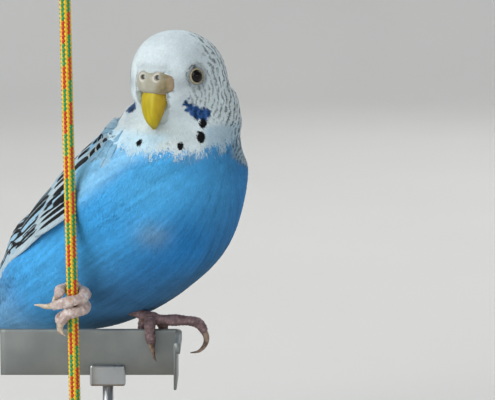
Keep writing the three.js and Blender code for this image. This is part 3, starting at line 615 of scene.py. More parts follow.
def markings(row, jitter=0.0):
    """Colour, bar phase and bar strength of the plumage at points of the row's frame."""
    b = row_to_bird(row)
    h = row_to_head(row)
    x, y, z = h.T
    left = b[:, 1]
    right, _, level = row.T
    turn = turn_of(h)
    aside = np.abs(turn)
    rough = wobble(row, 2.0, 3)
    broad = wobble(row, 11.0, 5)

    # Blue of the body: paler towards the wings and breast, deeper down the middle, greyer to the vent, with
    # painted light towards the lit left and on the breast, and painted shade under the belly, low down and to
    # the right
    belly = b @ BACK
    front = b @ ALONG
    colour = mix(BLUE, DEEP_BLUE, (0.35 + 0.35 * broad)[:, None].clip(0, 1) * 0.6)
    flank = step01(-22, -8, belly) * step01(10, 20, np.abs(left))
    colour = tinge(colour, PALE_BLUE, 0.55 * flank)
    colour = tinge(colour, PALE_BLUE, 0.5 * step01(12, 26, front) * step01(14, -6, left))
    colour = tinge(colour, GREY_BLUE, 0.55 * step01(-6, -52, front) * step01(-4, -18, belly))
    vent = step01(-38, -62, front)
    colour = tinge(colour, "7fb4d6", 0.6 * vent)
    # Painted light: brighter blue towards the lit left of the scene, away from the vent.
    colour = tinge(colour, "54b6f2", 0.4 * step01(-6, -26, right) * (1 - vent))
    stain = np.exp(-(((b - np.array([13.2, -16.2, -5.0])) / [5.5, 5.5, 4.5]) ** 2).sum(1) * 1.3)
    colour = tinge(colour, "94917a", 0.4 * stain)
    # Painted shade: darker grey-blue on the underside of the belly, mostly on the bird's left side.
    under = step01(-13, -22, belly) * step01(30, 4, front)
    colour = tinge(colour, "34505c", 0.5 * under * step01(-14, 8, left))
    # Painted shade: greyer and darker low down and towards the right of the scene.
    shade = 0.45 * step01(86, 62, level) * step01(-24, -6, right)
    colour = tinge(colour, "4f6672", np.maximum(shade, 0.3 * step01(10, 30, right)))
    # Painted light: a pool of paler, brighter blue on the breast where the light falls most.
    painted_breast_light = bell(right - 8, 13) * bell(level - 97, 9) * (belly < 4)
    colour = tinge(colour, "5cbcf6", 0.75 * painted_breast_light)
    wing_front, angle, lowest, _ = by_the_wing(row)
    over_wing = step01(-8, 6, angle - lowest) * step01(-14, 0, wing_front) * step01(30, 24, wing_front)
    over_wing = over_wing * (left < 0)
    colour = tinge(colour, "93cdf0", 0.7 * over_wing)

    # White head and bib with a hair-like lower edge
    edge = smooth(BIB_EDGE, 1, turn)
    around = np.arctan2(belly, left)
    streak = wobble(np.stack([around * 20, front * 0.1, 0 * front], -1), 0.9, 44, 40)
    colour = colour * (1 + 0.09 * streak * step01(34, 22, front))[:, None]
    hairs = wobble(row * [1, 1, 0.25], 1.2, 8)
    white = step01(-1.1, 1.1, z - edge + 0.7 * rough + 0.6 * hairs + 0.9 * jitter)
    head = mix(WHITE, srgb("c0ccd2"), (0.25 + 0.25 * broad)[:, None].clip(0, 1))
    head = tinge(head, "b9bfa6", 0.25 * step01(9, 2, np.abs(y)) * step01(-9, -14, z))
    soft = step01(45, 62, turn) * step01(130, 105, turn) * step01(-10.5, -13, z)
    head = tinge(head, "8fb4cb", 0.6 * soft)
    # Grey smudges before and round the eye, and over the cere
    to_eye = np.linalg.norm(np.stack([x - (EYE[0] + 0.4), y - np.sign(y) * 11, z - EYE[2]], -1), axis=1)
    lore = 0.5 * bell(to_eye - 2.9, 1.1)
    ahead = bell(x - 15.4, 1.8) * bell(z - 0.2, 2.2) * step01(4, 6.5, np.abs(y))
    over = bell(z - 4.6, 1.1) * step01(15.5, 17, x) * step01(6.5, 4.5, np.abs(y))
    brow = 0.9 * bell(z - EYE[2] - 2.75, 0.3) * bell(x - EYE[0] - 0.4, 0.8) * step01(8, 9, np.abs(y))
    head = mix(head, srgb("8c9499"), (lore + 0.55 * ahead + 0.4 * over)[:, None].clip(0, 0.8))
    head = tinge(head, "4a5156", brow)

    # Bars run round the head behind the face, down the nape and on over the mantle
    reach = np.linalg.norm(h - FACE, axis=1)
    start = np.interp(z, [-12, -8, -3, 0, 2, 6, 10, 14], [9.4, 8.6, 8.8, 11.4, 13.4, 15.4, 17.5, 20])
    bars = step01(-0.8, 1.2, reach - start + 0.5 * rough) * step01(6, 20, aside)
    low = step01(-20, -34, z)
    middle = mix(180, 264, low)
    wide = mix(80, 50, low)
    sector = step01(12, -6, np.abs((turn - middle + 180) % 360 - 180) - wide)
    upper = step01(-1.0, 1.2, z - smooth(BAR_EDGE, 1, aside) + 0.5 * rough)
    on_back = step01(-2, 6, belly) * step01(15, 8, np.abs(left))
    nape = sector * step01(-34, -22, z)
    rump = step01(-44, -26, front)
    mantle = on_back * rump * (1 - step01(-24, -16, z))
    barred = np.maximum.reduce([bars * upper, nape, mantle])
    pale = np.maximum(white, np.maximum(nape, mantle) * 0.85)
    colour = mix(colour, head, pale[:, None])
    colour = tinge(colour, "c2e4f6", 0.8 * over_wing * step01(-12, -15, z) * white)
    colour = tinge(colour, GREY_BLUE, 0.45 * (1 - white) * sector * step01(-34, -22, z))
    phase = np.minimum(reach, BAR_CHANGE) / FACE_BARS + np.maximum(reach - BAR_CHANGE, 0) / NAPE_BARS
    phase = mix(phase, front / BACK_BARS, mantle) + 0.25 * rough
    strength = barred * mix(0.62, 1, step01(12, 24, reach)) * mix(1, 0.8, rough.clip(0, 1))

    # Violet cheek patches and the dark throat spots on top of them
    m = np.stack([x, np.abs(y), z], -1)
    patch = np.full(len(h), 99.0)
    for a, c in zip(PATCH[:-1], PATCH[1:]):
        run = c - a
        t = np.clip((m - a) @ run / (run @ run), 0, 1)
        patch = np.minimum(patch, np.linalg.norm(m - a - t[:, None] * run, axis=1))
    wide = 0.7 + 1.6 * step01(-4.2, -8.0, m[:, 2])
    blot = step01(wide + 0.35, wide - 0.35, patch + 0.45 * wobble(row, 0.9, 31))
    fleck = (0.5 + 0.5 * wobble(row * [1, 1, 0.5], 0.8, 21))[:, None].clip(0, 1)
    violet = mix(mix(VIOLET, srgb("0e2440"), 1 - fleck), srgb("5a70b0"), 0.4 * fleck**3)
    colour = tinge(colour, violet, blot)
    strength = strength * (1 - blot)
    for angle, out, height, half, tall in SPOTS:
        spot = turn_z(np.array([out, 0, height]), angle)
        flat = np.hypot((h - spot) @ turn_z(LEFT, angle) / half, (z - height) / tall)
        near = np.linalg.norm(h - spot, axis=1) < 5
        disc = step01(1.12, 0.9, flat) * near
        colour = tinge(colour, BLACK, disc)
        strength = strength * (1 - disc)
    return np.clip(colour, 0, 1), phase, strength


def mark(mesh, points):
    colour, phase, strength = markings(points)
    set_colours(mesh, "tint", colour)
    set_bars(mesh, phase, strength)


# Skin: trunk, neck and head in one
def section(along):
    x, z, pitch, width, back, belly, turn = [smooth(STATIONS, k, along) for k in range(1, 8)]
    beyond = np.minimum(0, along - REAR)
    centre = np.stack([x, 0 * x, z], -1) + beyond[..., None] * ALONG
    pitch = np.radians(pitch)
    up = np.stack([-np.sin(pitch), 0 * x, np.cos(pitch)], -1)
    return centre, up, width, back, belly, turn


def by_the_wing(row):
    """Place along the trunk, angle over its side, and the lowest and highest angles of the wing there."""
    b = row_to_bird(row)
    front = b @ ALONG
    _, _, width, back, _, _ = section(np.clip(front, REAR, TOP))
    angle = np.degrees(np.arctan2(b @ BACK / np.maximum(back, 1), np.abs(b[:, 1]) / np.maximum(width, 1)))
    return front, angle, smooth(WING_FORM, 3, front), smooth(WING_FORM, 4, front)


COAT_DEPTH = 1.0
SKIN_SIDES = 96
SKIN_VOXEL = 0.7
SKIN_ROUNDS = 14
THROAT_ROUNDS = 150
MM_PER_DEGREE = 0.37


def skin_form():
    trunk, head, steps = [], [], 60
    for along in np.linspace(REAR, TOP, 150):
        centre, up, *reach, turn = section(np.array(along))
        width, back, belly = (max(k - COAT_DEPTH, 0.8) for k in reach)
        start = -math.radians(HEAD_TURN) * turn
        ring = ellipse(centre, LEFT, up, width, back, belly, SKIN_SIDES, 1, start)
        ring = turn_z(ring - [NECK_X, 0, 0], HEAD_TURN * turn) + [NECK_X, 0, 0]
        trunk.append(bird_to_row(ring))
    first, last = HEAD_STATIONS[0][0], HEAD_STATIONS[-1][0]
    for i in range(steps):
        t = mix(first, last, (1 - math.cos(math.pi * i / (steps - 1))) / 2)
        width, over, under = [max(smooth(HEAD_STATIONS, k, t) - COAT_DEPTH * 0.6, 0.5) for k in (1, 2, 3)]
        ring = ellipse(FORWARD * t * 0.985, LEFT, UP, width, over, under, SKIN_SIDES, HEAD_POWER)
        head.append(head_to_row(ring))
    return together([loft_of(trunk), loft_of(head)])


def eye_spot(side):
    """The eyeball's middle, set a little deeper than the solid's, and the way it looks."""
    out = unit(EYE_OUT * [1, side, 1])
    return EYE * [1, side, 1] - (0.55 if side > 0 else 0.95) * out, out


def bill_width(height):
    rows = np.array(BILL_UPPER)
    return np.interp(-height, -rows[:, 2], rows[:, 3])


plumage = plumage_surface()
skin = remeshed("skin", *skin_form(), plumage, SKIN_VOXEL, SKIN_ROUNDS)
skin_points = points_of(skin.data)
edges = np.array([edge.vertices for edge in skin.data.edges])
degree = np.bincount(edges.ravel(), minlength=len(skin_points))[:, None]
height = row_to_head(skin_points)[:, 2]
ease = (0.7 * step01(-26, -19, height) * step01(-3, -9, height))[:, None]
# The throat under the turned head is eased into one soft slope.
for _ in range(THROAT_ROUNDS):
    total = [
        np.bincount(edges[:, 0], skin_points[edges[:, 1], k], len(degree))
        + np.bincount(edges[:, 1], skin_points[edges[:, 0], k], len(degree))
        for k in range(3)
    ]
    skin_points += ease * (np.stack(total, -1) / degree - skin_points)
in_head = row_to_head(skin_points)
for side in (1, -1):
    spot, out = eye_spot(side)
    apart = np.linalg.norm(np.cross(in_head - spot, out), axis=1)
    level = (in_head - spot) @ out
    sink = step01(2.9, 2.0, apart) * (level > -3)
    in_head = in_head - out * (sink * np.maximum(level + 0.6, 0))[:, None]
# The neck's left side is slimmer than the solid's, and the face lies back round the bill's root.
around = turn_of(in_head)
high = in_head[:, 2]
slim = step01(-11, -16, high) * step01(-25, -19, high) * step01(78, 105, around) * step01(172, 145, around)
in_head[:, :2] *= 1 - 1.2 * slim[:, None] / np.linalg.norm(in_head[:, :2], axis=1, keepdims=True).clip(3)
aside = np.abs(in_head[:, 1]) - bill_width(high)
back = step01(0.5, 0, aside) * step01(-11.4, -10.2, high) * step01(1.5, 0, high)
in_head[:, 0] = mix(in_head[:, 0], np.minimum(in_head[:, 0], 15.1), back)
skin_points = head_to_row(in_head)
move_points(skin.data, skin_points)
mark(skin.data, skin_points)
settle(skin, "plumage_blue", "torso", "neck", "head")


def surface_tree(mesh):
    faces = [tuple(p.vertices) for p in mesh.polygons]
    return BVHTree.FromPolygons([tuple(p) for p in points_of(mesh)], faces), faces


tree, skin_faces = surface_tree(skin.data)


def scattered(spacing_of, count):
    """Spots on the skin, kept at least a spacing apart that depends on the place."""
    tris = []
    for face in skin_faces:
        tris.append((face[0], face[1], face[2]))
        if len(face) == 4:
            tris.append((face[0], face[2], face[3]))
    tris = np.array(tris)
    a, c, d = (skin_points[tris[:, k]] for k in range(3))
    cross = np.cross(c - a, d - a)
    area = np.linalg.norm(cross, axis=1) / 2
    facing = unit(cross)
    middle = (a + c + d) / 3
    weight = area / spacing_of(middle) ** 2
    pick = rng.choice(len(tris), count, p=weight / weight.sum())
    u, v = rng.uniform(size=(2, count))
    flip = u + v > 1
    u, v = np.where(flip, 1 - u, u), np.where(flip, 1 - v, v)
    spots = a[pick] + u[:, None] * (c - a)[pick] + v[:, None] * (d - a)[pick]
    return spots, facing[pick]


CENTRES = np.linspace(REAR, TOP, 160)
CENTRE_POINTS, _, _, _, _, _ = section(CENTRES)
CENTRE_PITCH = np.radians(smooth(STATIONS, 3, CENTRES))


def lie(row, normals):
    """Direction in the row's frame in which the feathers lie."""
    b = row_to_bird(row)
    h = row_to_head(row)
    tree_of_centres = KDTree(len(CENTRES))
    for i, p in enumerate(CENTRE_POINTS):
        tree_of_centres.insert(p, i)
    tree_of_centres.balance()
    index = np.array([tree_of_centres.find(p)[1] for p in b])
    pitch = CENTRE_PITCH[index]
    body = np.stack([-np.cos(pitch), 0 * pitch, -np.sin(pitch)], -1)
    body[:, 1] += 0.012 * b[:, 1]
    body[:, 2] -= 0.25
    body = turn_z(unit(body), HEADING)
    away = turn_z(turn_z(unit(h - FACE), HEAD_TURN), HEADING)
    away[:, 2] -= 0.35 * step01(0, -14, h[:, 2])
    share = step01(-24, -13, h[:, 2])[:, None]
    flow = mix(body, away, share)
    flow = flow - normals * (flow * normals).sum(1)[:, None]
    return unit(flow)


def coat_length(row):
    """Length of a tuft: shortest round the face, longest on the belly."""
    h = row_to_head(row)
    reach = np.linalg.norm(h - FACE, axis=1)
    length = np.interp(reach, [4, 8, 14, 22, 34], [1.3, 1.7, 2.4, 3.6, 5.2])
    b = row_to_bird(row)
    return np.where(b @ ALONG < -30, np.minimum(length, 5.0), length)


def unwrap(row):
    """Place on an unwrap of the skin: the trunk by angle and length, the head beside it."""
    b = row_to_bird(row)
    h = row_to_head(row)
    on_head = h[:, 2] > -12
    turn = np.arctan2(b @ BACK, b[:, 1]) / (2 * math.pi) + 0.5
    length = (b @ ALONG + 80) / 130
    head_turn = np.arctan2(h[:, 2], h[:, 1]) / (2 * math.pi) + 0.5
    head_length = (h[:, 0] + 16) / 38
    u = np.where(on_head, 0.56 + 0.42 * head_turn, 0.02 + 0.5 * turn)
    v = np.where(on_head, head_length, length)
    return np.column_stack([u, v]).clip(0.01, 0.99)


def raised(row):
    """How far the plumage stands off the skin over the wing's edges, the throat, the nape and the rear."""
    front, angle, lowest, highest = by_the_wing(row)
    b, h = row_to_bird(row), row_to_head(row)
    turn, high = turn_of(h), h[:, 2]
    under = np.maximum(lowest - angle, 0) * MM_PER_DEGREE
    off = np.hypot(np.maximum(under, (angle - highest) * MM_PER_DEGREE), np.maximum(front - 24, 0))
    shoulder = 3.8 * step01(12, 0, off) * step01(-18, 0, front) * step01(-10, -18, high)
    shoulder = shoulder * mix(1, 0.5 * step01(24, 14, front), step01(-2, 4, b[:, 1]))
    rear = 2.0 * step01(11, 1, under) * step01(-26, -46, front) * step01(-84, -62, front)
    throat = step01(-5, -10, high) * step01(-27, -17, high)
    throat = throat * step01(-22, -50, turn) * step01(-130, -105, turn)
    nape = 1.2 * bell(high + 4.4, 4.2) * step01(80, 105, turn) * step01(172, 150, turn)
    return np.maximum(shoulder, 2.4 * throat) + rear + nape


def covered(row):
    """Where the wings, the bill and the eyes leave no room for a tuft."""
    b = row_to_bird(row)
    h = row_to_head(row)
    x, y, z = h.T
    front, angle, lowest, highest = by_the_wing(row)
    above = lowest + mix(8, 23, step01(-12, 4, front) * step01(24, 12, front))
    wing = (front < 18) & (front > -90) & (angle > above) & (angle < highest - 6) & (z < -20)
    eye = np.zeros(len(b), bool)
    for side in (1, -1):
        spot, out = eye_spot(side)
        eye |= (np.linalg.norm(np.cross(h - spot, out), axis=1) < 2.2) & (y * side > 4)
    cere = (x > 14.5) & (np.abs(y - CERE_Y) < 5.4) & (np.abs(z - CERE_Z) < 2.7)
    bill = (x > 12.5) & (np.abs(y) < bill_width(z) + 0.1) & (z < 0) & (z > -10.4)
    return wing | eye | cere | bill


TUFTS = 39500
PIECE_TRIANGLES = 195000
BLADES = 6
BLADE_TRIS = np.array([[0, 1, 2], [0, 2, 3], [0, 3, 1], [1, 4, 2], [2, 4, 3], [3, 4, 1]])
BLADE_PATCH = np.array([[0, -1], [-0.5, 0], [0, 0], [0.5, 0], [0, 1]]) * 0.0015
EYE_CLEAR = 2.28


def clear_of_eyes(row):
    """Points with those over an eye pushed out to the ring round it."""
    h = row_to_head(row)
    for side in (1, -1):
        spot, out = eye_spot(side)
        level = (h - spot) @ out
        flat = h - spot - level[:, None] * out
        reach = np.linalg.norm(flat, axis=1)
        over = (reach < EYE_CLEAR) & (level > -2)
        pushed = spot + level[:, None] * out + flat / np.maximum(reach, 0.05)[:, None] * EYE_CLEAR
        h = np.where(over[:, None], pushed, h)
    return head_to_row(h)


def coat():
    """Tufts of fanned blades over the skin: for each blade five points, their normals and a colour's place."""
    spacing = lambda row: coat_length(row) * 0.2 + 0.16
    spots, facing = scattered(spacing, TUFTS)
    free = ~covered(spots)
    spots, facing = spots[free], facing[free]
    flow = lie(spots, facing)
    side = np.cross(facing, flow)
    length = coat_length(spots)
    stand = raised(spots)
    verts, norms, probes = [], [], []
    for blade in range(BLADES):
        fan = (blade / (BLADES - 1) - 0.5) * 0.8 + rng.normal(0, 0.09, len(spots))
        reach = length * (1 - 0.5 * fan**2) * rng.uniform(0.8, 1.15, len(spots))
        heading = unit(flow + side * fan[:, None] * 0.7)
        root = spots + side * (fan * length * 0.2)[:, None] - facing * 0.2
        half = (0.085 + 0.03 * length) * rng.uniform(0.8, 1.2, len(spots))
        lift = (0.2 + 0.055 * length) * rng.uniform(0.75, 1.25, len(spots))
        across = unit(np.cross(facing, heading))
        middle = root + heading * (reach * 0.42)[:, None]
        tip = root + heading * reach[:, None]
        for place, height in ((middle, lift), (tip, lift * 0.95)):
            out = np.empty_like(place)
            for i in range(len(place)):
                place[i], out[i] = tree.find_nearest(place[i])[:2]
            place += out * (height + raised(place))[:, None]
        wide = across * half[:, None]
        crest = facing * (half * 0.5)[:, None]
        root = root + facing * (stand * 0.8)[:, None]
        verts.append(np.stack([root, middle - wide, middle + crest, middle + wide, tip], 1))
        norms.append(np.stack([facing, unit(facing - across * 0.35), facing, unit(facing + across * 0.35),
                               unit(facing + heading * 0.2)], 1))
        probes.append(mix(root, tip, 0.6))
    verts = clear_of_eyes(np.stack(verts, 1).reshape(-1, 3)).reshape(len(spots), -1, 3)
    return spots, verts, np.stack(norms, 1).reshape(len(spots), -1, 3), np.stack(probes, 1)


def build_coat():
    spots, verts, norms, probes = coat()
    homes = unwrap(spots)
    groups = math.ceil(len(spots) * BLADES * len(BLADE_TRIS) / PIECE_TRIANGLES)
    # Tufts are shared out by their place along the body, so that each piece is one stretch of the coat.
    order = np.argsort(spots @ np.array([0.45, -0.2, 1.0]))
    for number, group in enumerate(np.array_split(order, groups)):
        points = verts[group].reshape(-1, 3)
        blades = len(points) // 5
        tris = (np.arange(blades)[:, None, None] * 5 + BLADE_TRIS[None]).reshape(-1, 3)
        piece = new_object(f"coat_{number + 1:02d}", points, tris, plumage)
        mesh = piece.data
        colour, _, _ = markings(probes[group].reshape(-1, 3), rng.normal(0, 1, blades))
        tone = rng.normal(1, 0.04, blades) * np.where(rng.uniform(size=blades) < 0.04, 1.12, 1)
        colour = np.repeat(np.clip(colour * tone[:, None], 0, 1), 5, axis=0)
        set_colours(mesh, "tint", colour)
        _, phase, strength = markings(points)
        phase = phase + np.repeat(rng.normal(0, 0.07, len(group)), BLADES * 5)
        strength = strength * np.repeat(rng.uniform(0.55, 1, len(group)), BLADES * 5)
        set_bars(mesh, phase, strength)
        layer = mesh.uv_layers.new(name="OFBake")
        uv = (np.repeat(homes[group], BLADES, axis=0)[:, None, :] + BLADE_PATCH[None]).reshape(-1, 2)
        layer.data.foreach_set("uv", uv[tris.ravel()].astype(np.float32).ravel())
        mesh.normals_split_custom_set_from_vertices(norms[group].reshape(-1, 3).astype(np.float32))
        settle(piece, "plumage_blue")


build_coat()

# Wings and tail
vane = vane_surface()
FLIGHT_SHAPE = [[0, 0.4], [0.12, 0.62], [0.5, 1], [0.82, 0.94], [0.95, 0.62], [1, 0.12]]
COVERT_SHAPE = [[0, 0.45], [0.3, 0.86], [0.62, 1], [0.86, 0.86], [0.96, 0.52], [1, 0.16]]


def on_wing(along, across, out):
    centre, up, width, back, _, _ = section(along)
    least_width, least_back, low, high = [smooth(WING_FORM, k, along) for k in range(1, 5)]
    aside = np.maximum(width, least_width) + GAP
    over = np.maximum(back, least_back) + GAP
    angle = np.radians(mix(low, high, across))
    facing = unit(np.stack([np.cos(angle) / aside, np.sin(angle) / over], -1))
    at = (
        centre
        - LEFT * (np.cos(angle) * aside + out * facing[..., 0])[..., None]
        + up * (np.sin(angle) * over + out * facing[..., 1])[..., None]
    )
    return at, up * facing[..., 1:2] - LEFT * facing[..., 0:1]


def feather(spots, ups, half_width, shape, tilt=5.0, thick=0.16, camber=0.35, across=8, bend=20.0):
    """A closed thin vane along its spots, with its uv across and along."""
    count = len(spots)
    t = np.linspace(0, 1, count)
    ahead = unit(np.gradient(spots, axis=0))
    up = unit(ups - ahead * (ups * ahead).sum(1)[:, None])
    lean = math.radians(tilt)
    side = np.cross(up, ahead)
    up, side = up * math.cos(lean) + side * math.sin(lean), side * math.cos(lean) - up * math.sin(lean)
    s = np.linspace(-1, 1, across + 1)
    width = half_width * smooth(shape, 1, t)
    aside = s[None] * width[:, None]
    crown = camber * (1 - s**2)[None] * np.sin(np.pi * np.clip(t, 0.1, 1) * 0.9)[:, None]
    rise = crown - aside**2 / (2 * bend)
    shaft = 0.09 * bell(s, 0.1)[None] * (1 - 0.8 * t)[:, None]
    # Barbs leave the edge slightly uneven towards the tip.
    ruffle = rng.normal(0, 0.1, (count, across + 1)) * (np.abs(s) > 0.9)[None] * (t > 0.3)[:, None]
    sweep = (np.abs(s) ** 2)[None] * (half_width * 0.35) * (t > 0.02)[:, None] * (t < 0.98)[:, None]
    top = (
        spots[:, None]
        + side[:, None] * aside[..., None]
        + up[:, None] * (rise + shaft + thick / 2)[..., None]
        + ahead[:, None] * (ruffle - sweep * 0.6)[..., None]
    )
    low = top - up[:, None] * (thick + shaft * 0.5)[..., None]
    n = across + 1
    verts = np.concatenate([top.reshape(-1, 3), low.reshape(-1, 3)])
    base = count * n
    i, j = np.meshgrid(np.arange(count - 1), np.arange(across), indexing="ij")
    a = (i * n + j).ravel()
    quads = [np.stack([a, a + 1, a + n + 1, a + n], -1), np.stack([a, a + n, a + n + 1, a + 1], -1) + base]
    for edge, flip in ((0, False), (across, True)):
        e = np.arange(count - 1) * n + edge
        strip = np.stack([e, e + n, e + n + base, e + base], -1)
        quads.append(strip[:, ::-1] if flip else strip)
    for row, flip in ((0, True), (count - 1, False)):
        e = row * n + np.arange(across)
        strip = np.stack([e, e + 1, e + 1 + base, e + base], -1)
        quads.append(strip[:, ::-1] if not flip else strip)
    uv = np.stack(np.broadcast_arrays((s[None] + 1) / 2, t[:, None]), -1).reshape(-1, 2)
    return verts, np.concatenate(quads), np.concatenate([uv, uv])


def feathered(name, feathers, material, slot, nodes, mirror=False):
    """One object from many vanes. Each entry holds its mesh, look and tint, in the bird's frame."""
    verts, quads, uvs, looks, leans, tints, at = [], [], [], [], [], [], 0
    for (v, q, uv), look, lean, tint in feathers:
        if mirror:
            v = v * [1, -1, 1]
            q = q[:, ::-1]
        verts.append(bird_to_row(v))
        quads.append(q + at)
        uvs.append(uv)
        looks.append(np.broadcast_to(look, (len(v), 4)))
        leans.append(np.full(len(v), lean))
        tints.append(np.broadcast_to([*tint, 1], (len(v), 4)))
        at += len(v)
    quads = np.concatenate(quads)
    piece = new_object(name, np.concatenate(verts), quads, material)
    set_attribute(piece.data, "look", "FLOAT_COLOR", np.concatenate(looks))
    set_attribute(piece.data, "lean", "FLOAT", np.concatenate(leans))
    set_attribute(piece.data, "tint", "FLOAT_COLOR", np.concatenate(tints))
    layer = piece.data.uv_layers.new(name="vane")
    layer.data.foreach_set("uv", np.concatenate(uvs)[quads.ravel()].astype(np.float32).ravel())
    settle(piece, slot, *nodes)
    return piece


# For each row of the wing: its number of feathers; then, from its first to its last feather, the root along
# and across, the tip along and across, the half width and the height; then the share of that height at the
# root, the pale edge, the pale tip, and the start and strength of the dark field. Flight feathers come first.
WING_ROWS = [
    (8, (2, -6), (0.06, 0.3), (-72, -56), (0.1, 0.6), (2.4, 3.0), (0.85, 1.25), 0.75, 0.7, 0.04, 0.0, 1),
    (9, (0, -6), (0.28, 0.95), (-56, -44), (0.4, 1), (3.2, 3.8), (1.3, 1.7), 0.6, 0.68, 0.1, 0.0, 1),
    (5, (11, 8), (0.03, 0.2), (-27, -22), (0.04, 0.26), (1.9, 2.4), (1.5, 1.85), 0.45, 0.62, 0.1, 0.2, 1),
    (9, (10, 4), (0.16, 0.96), (-19, -17), (0.2, 0.98), (3.1, 3.3), (1.9, 2.2), 0.35, 0.46, 0.14, 0.4, 1),
    (7, (14, 9), (0.1, 0.94), (-7, -8), (0.12, 0.96), (3.1, 3.3), (2.3, 2.4), 0.2, 0.48, 0.17, 0.4, 1),
    (6, (17, 12), (0.1, 0.92), (1, -1), (0.1, 0.94), (2.8, 3.0), (2.4, 2.5), 0.15, 0.52, 0.24, 0.45, 1),
    (6, (19, 15), (0.14, 0.88), (7, 5), (0.1, 0.92), (2.5, 2.7), (2.4, 2.5), 0.1, 0.56, 0.27, 0.5, 1),
    (6, (22, 18), (0.18, 0.84), (12, 10), (0.12, 0.88), (2.1, 2.3), (2.1, 2.2), 0.05, 0.58, 0.3, 0.5, 0.95),
    (5, (24, 21), (0.3, 0.78), (16.5, 14.5), (0.16, 0.84), (1.9, 2.1), (1.2, 1.3), 0.0, 0.6, 0.32, 0.5, 0.9),
]
FLIGHT_ROWS = 3
LONGEST_PRIMARY = 1.8
WING_PALE = srgb("c3d6df")
WING_BLUE = srgb("9bc8e4")


def wing_feathers():
    made = []
    for number, row in enumerate(WING_ROWS):
        count, root, root_at, tip, tip_at, half, out, sunk, edge, tip_edge, start, dark = row
        shape, lean, steps = (FLIGHT_SHAPE, -0.1, 18) if number < FLIGHT_ROWS else (COVERT_SHAPE, 0.3, 14)
        for k in range(count):
            pick = lambda pair: mix(*pair, k / (count - 1))
            reach = (WING_REACH + tip[0]) * bell(k - LONGEST_PRIMARY, 1.5) if number == 0 else 0.0
            end = pick(tip) - reach + rng.normal(0, 0.5)
            t = np.linspace(0, 1, steps)
            height = pick(out) * mix(sunk, 1, np.minimum(1, 2 * t)) + 0.05 * (k % 2)
            across = mix(pick(root_at), pick(tip_at), t) + rng.normal(0, 0.008)
            spots, ups = on_wing(mix(pick(root), end, t), across, height)
            width = pick(half) * rng.uniform(0.94, 1.06)
            mesh = feather(spots, ups, width, shape, 4 + rng.normal(0, 1))
            pale_edge = edge * rng.uniform(0.88, 1.12)
            # The coverts by the breast are plain pale blue, like the plumage that lies over them.
            plain = step01(0.42, 0.2, pick(tip_at)) if root[0] > 11.5 else 0.0
            look = (pale_edge, tip_edge, start + 0.05 * rng.normal(), dark * (1 - plain))
            tint = mix(mix(WING_PALE, WING_BLUE, rng.uniform(0, 1)), srgb("8fcaf0"), 0.75 * plain)
            made.append((mesh, look, lean, tint))
    return made


def wing_core():
    """The arm under the coverts, in the bird's frame."""
    arm = [[-34, 1.0, 0.2, 0.9], [-16, 1.6, 0.08, 0.95], [-4, 2.4, 0.05, 0.98], [8, 2.9, 0.02, 1],
           [16, 1.8, 0.1, 0.9], [20, 0.8, 0.25, 0.75], [22, 0.3, 0.4, 0.6]]
    steps, across = 30, 16
    rings = []
    for along in np.linspace(arm[0][0], arm[-1][0], steps):
        thick, low, high = [smooth(arm, k, along) for k in (1, 2, 3)]
        share = np.linspace(0, 1, across)
        crown = 0.15 + 0.45 * np.sin(math.pi * share)
        place = np.full(across, float(along))
        outer, _ = on_wing(place, mix(low, high, share), thick * crown)
        inner, _ = on_wing(place, mix(low, high, share), np.full(across, 0.1))
        rings.append(np.concatenate([inner, outer[::-1]]))
    return np.concatenate(rings), ring_faces(steps, across * 2)


for name, mirror in (("right", False), ("left", True)):
    feathered("wing_vanes_" + name, wing_feathers(), vane, "wing_feathers", ["wing_" + name], mirror)
    verts, faces = wing_core()
    if mirror:
        verts = verts * [1, -1, 1]
        faces = [face[::-1] for face in faces]
    core = new_object("wing_arm_" + name, bird_to_row(verts), faces, plumage)
    set_colours(core.data, "tint", np.tile(srgb("7fa9c4"), (len(verts), 1)))
    set_attribute(core.data, "bars", "FLOAT_VECTOR", np.zeros((len(verts), 3)))
    settle(core, "wing_feathers")

TAIL_ROOT = -58
TAIL_SHARES = [1, 0.86, 0.76, 0.68, 0.61, 0.54]


def tail_feathers():
    made = []
    for pair, share in enumerate(TAIL_SHARES):
        reach = share * (TAIL_REACH + TAIL_ROOT)
        for side in (-1, 1):
            t = np.linspace(0, 1, 26)
            aside = side * (0.7 + 0.62 * pair) * mix(1, 2.0, t)
            over = 4.3 - 0.5 * pair - 0.12 * (side + 1) - 1.2 * t * t
            along = mix(TAIL_ROOT + 3, TAIL_ROOT - reach, t)
            spots = along[:, None] * ALONG + aside[:, None] * LEFT + over[:, None] * BACK
            ups = np.tile(unit(BACK + LEFT * side * 0.06 * pair), (len(t), 1))
            mesh = feather(spots, ups, mix(3.4, 3.0, pair / 6), FLIGHT_SHAPE, -side * 3, 0.2, 0.5, 8, 60)
            if pair == 0:
                made.append((mesh, (0.0, 0.0, 0.0, 0.25), 0, srgb("1d3f86")))
            else:
                made.append((mesh, (0.35, 0.05, 0.45, 1), 0, srgb("5b86b5" if pair < 3 else "c7d6dd")))
    return made


feathered("tail_vanes", tail_feathers(), vane, "tail_feathers", ["tail"])

# Head: cere, bill, eyes and lids
def bill_form(rows, steps, sides, grow=0.0):
    last = rows[-1][0]
    spot = lambda t: np.array([smooth(rows, 1, t), 0, smooth(rows, 2, t)])
    rings = []
    for t in np.linspace(0, last, steps):
        along = unit(spot(min(t + 0.1, last)) - spot(max(t - 0.1, 0)))
        up = np.cross(along, LEFT)
        width = float(smooth(rows, 3, t)) + grow
        depth = float(smooth(rows, 4, t)) + grow
        # The culmen is a soft ridge.
        ring = ellipse(spot(t), LEFT, up, width, depth * 1.06, depth, sides, 1.08)
        rings.append(ring)
    return loft_of(rings)


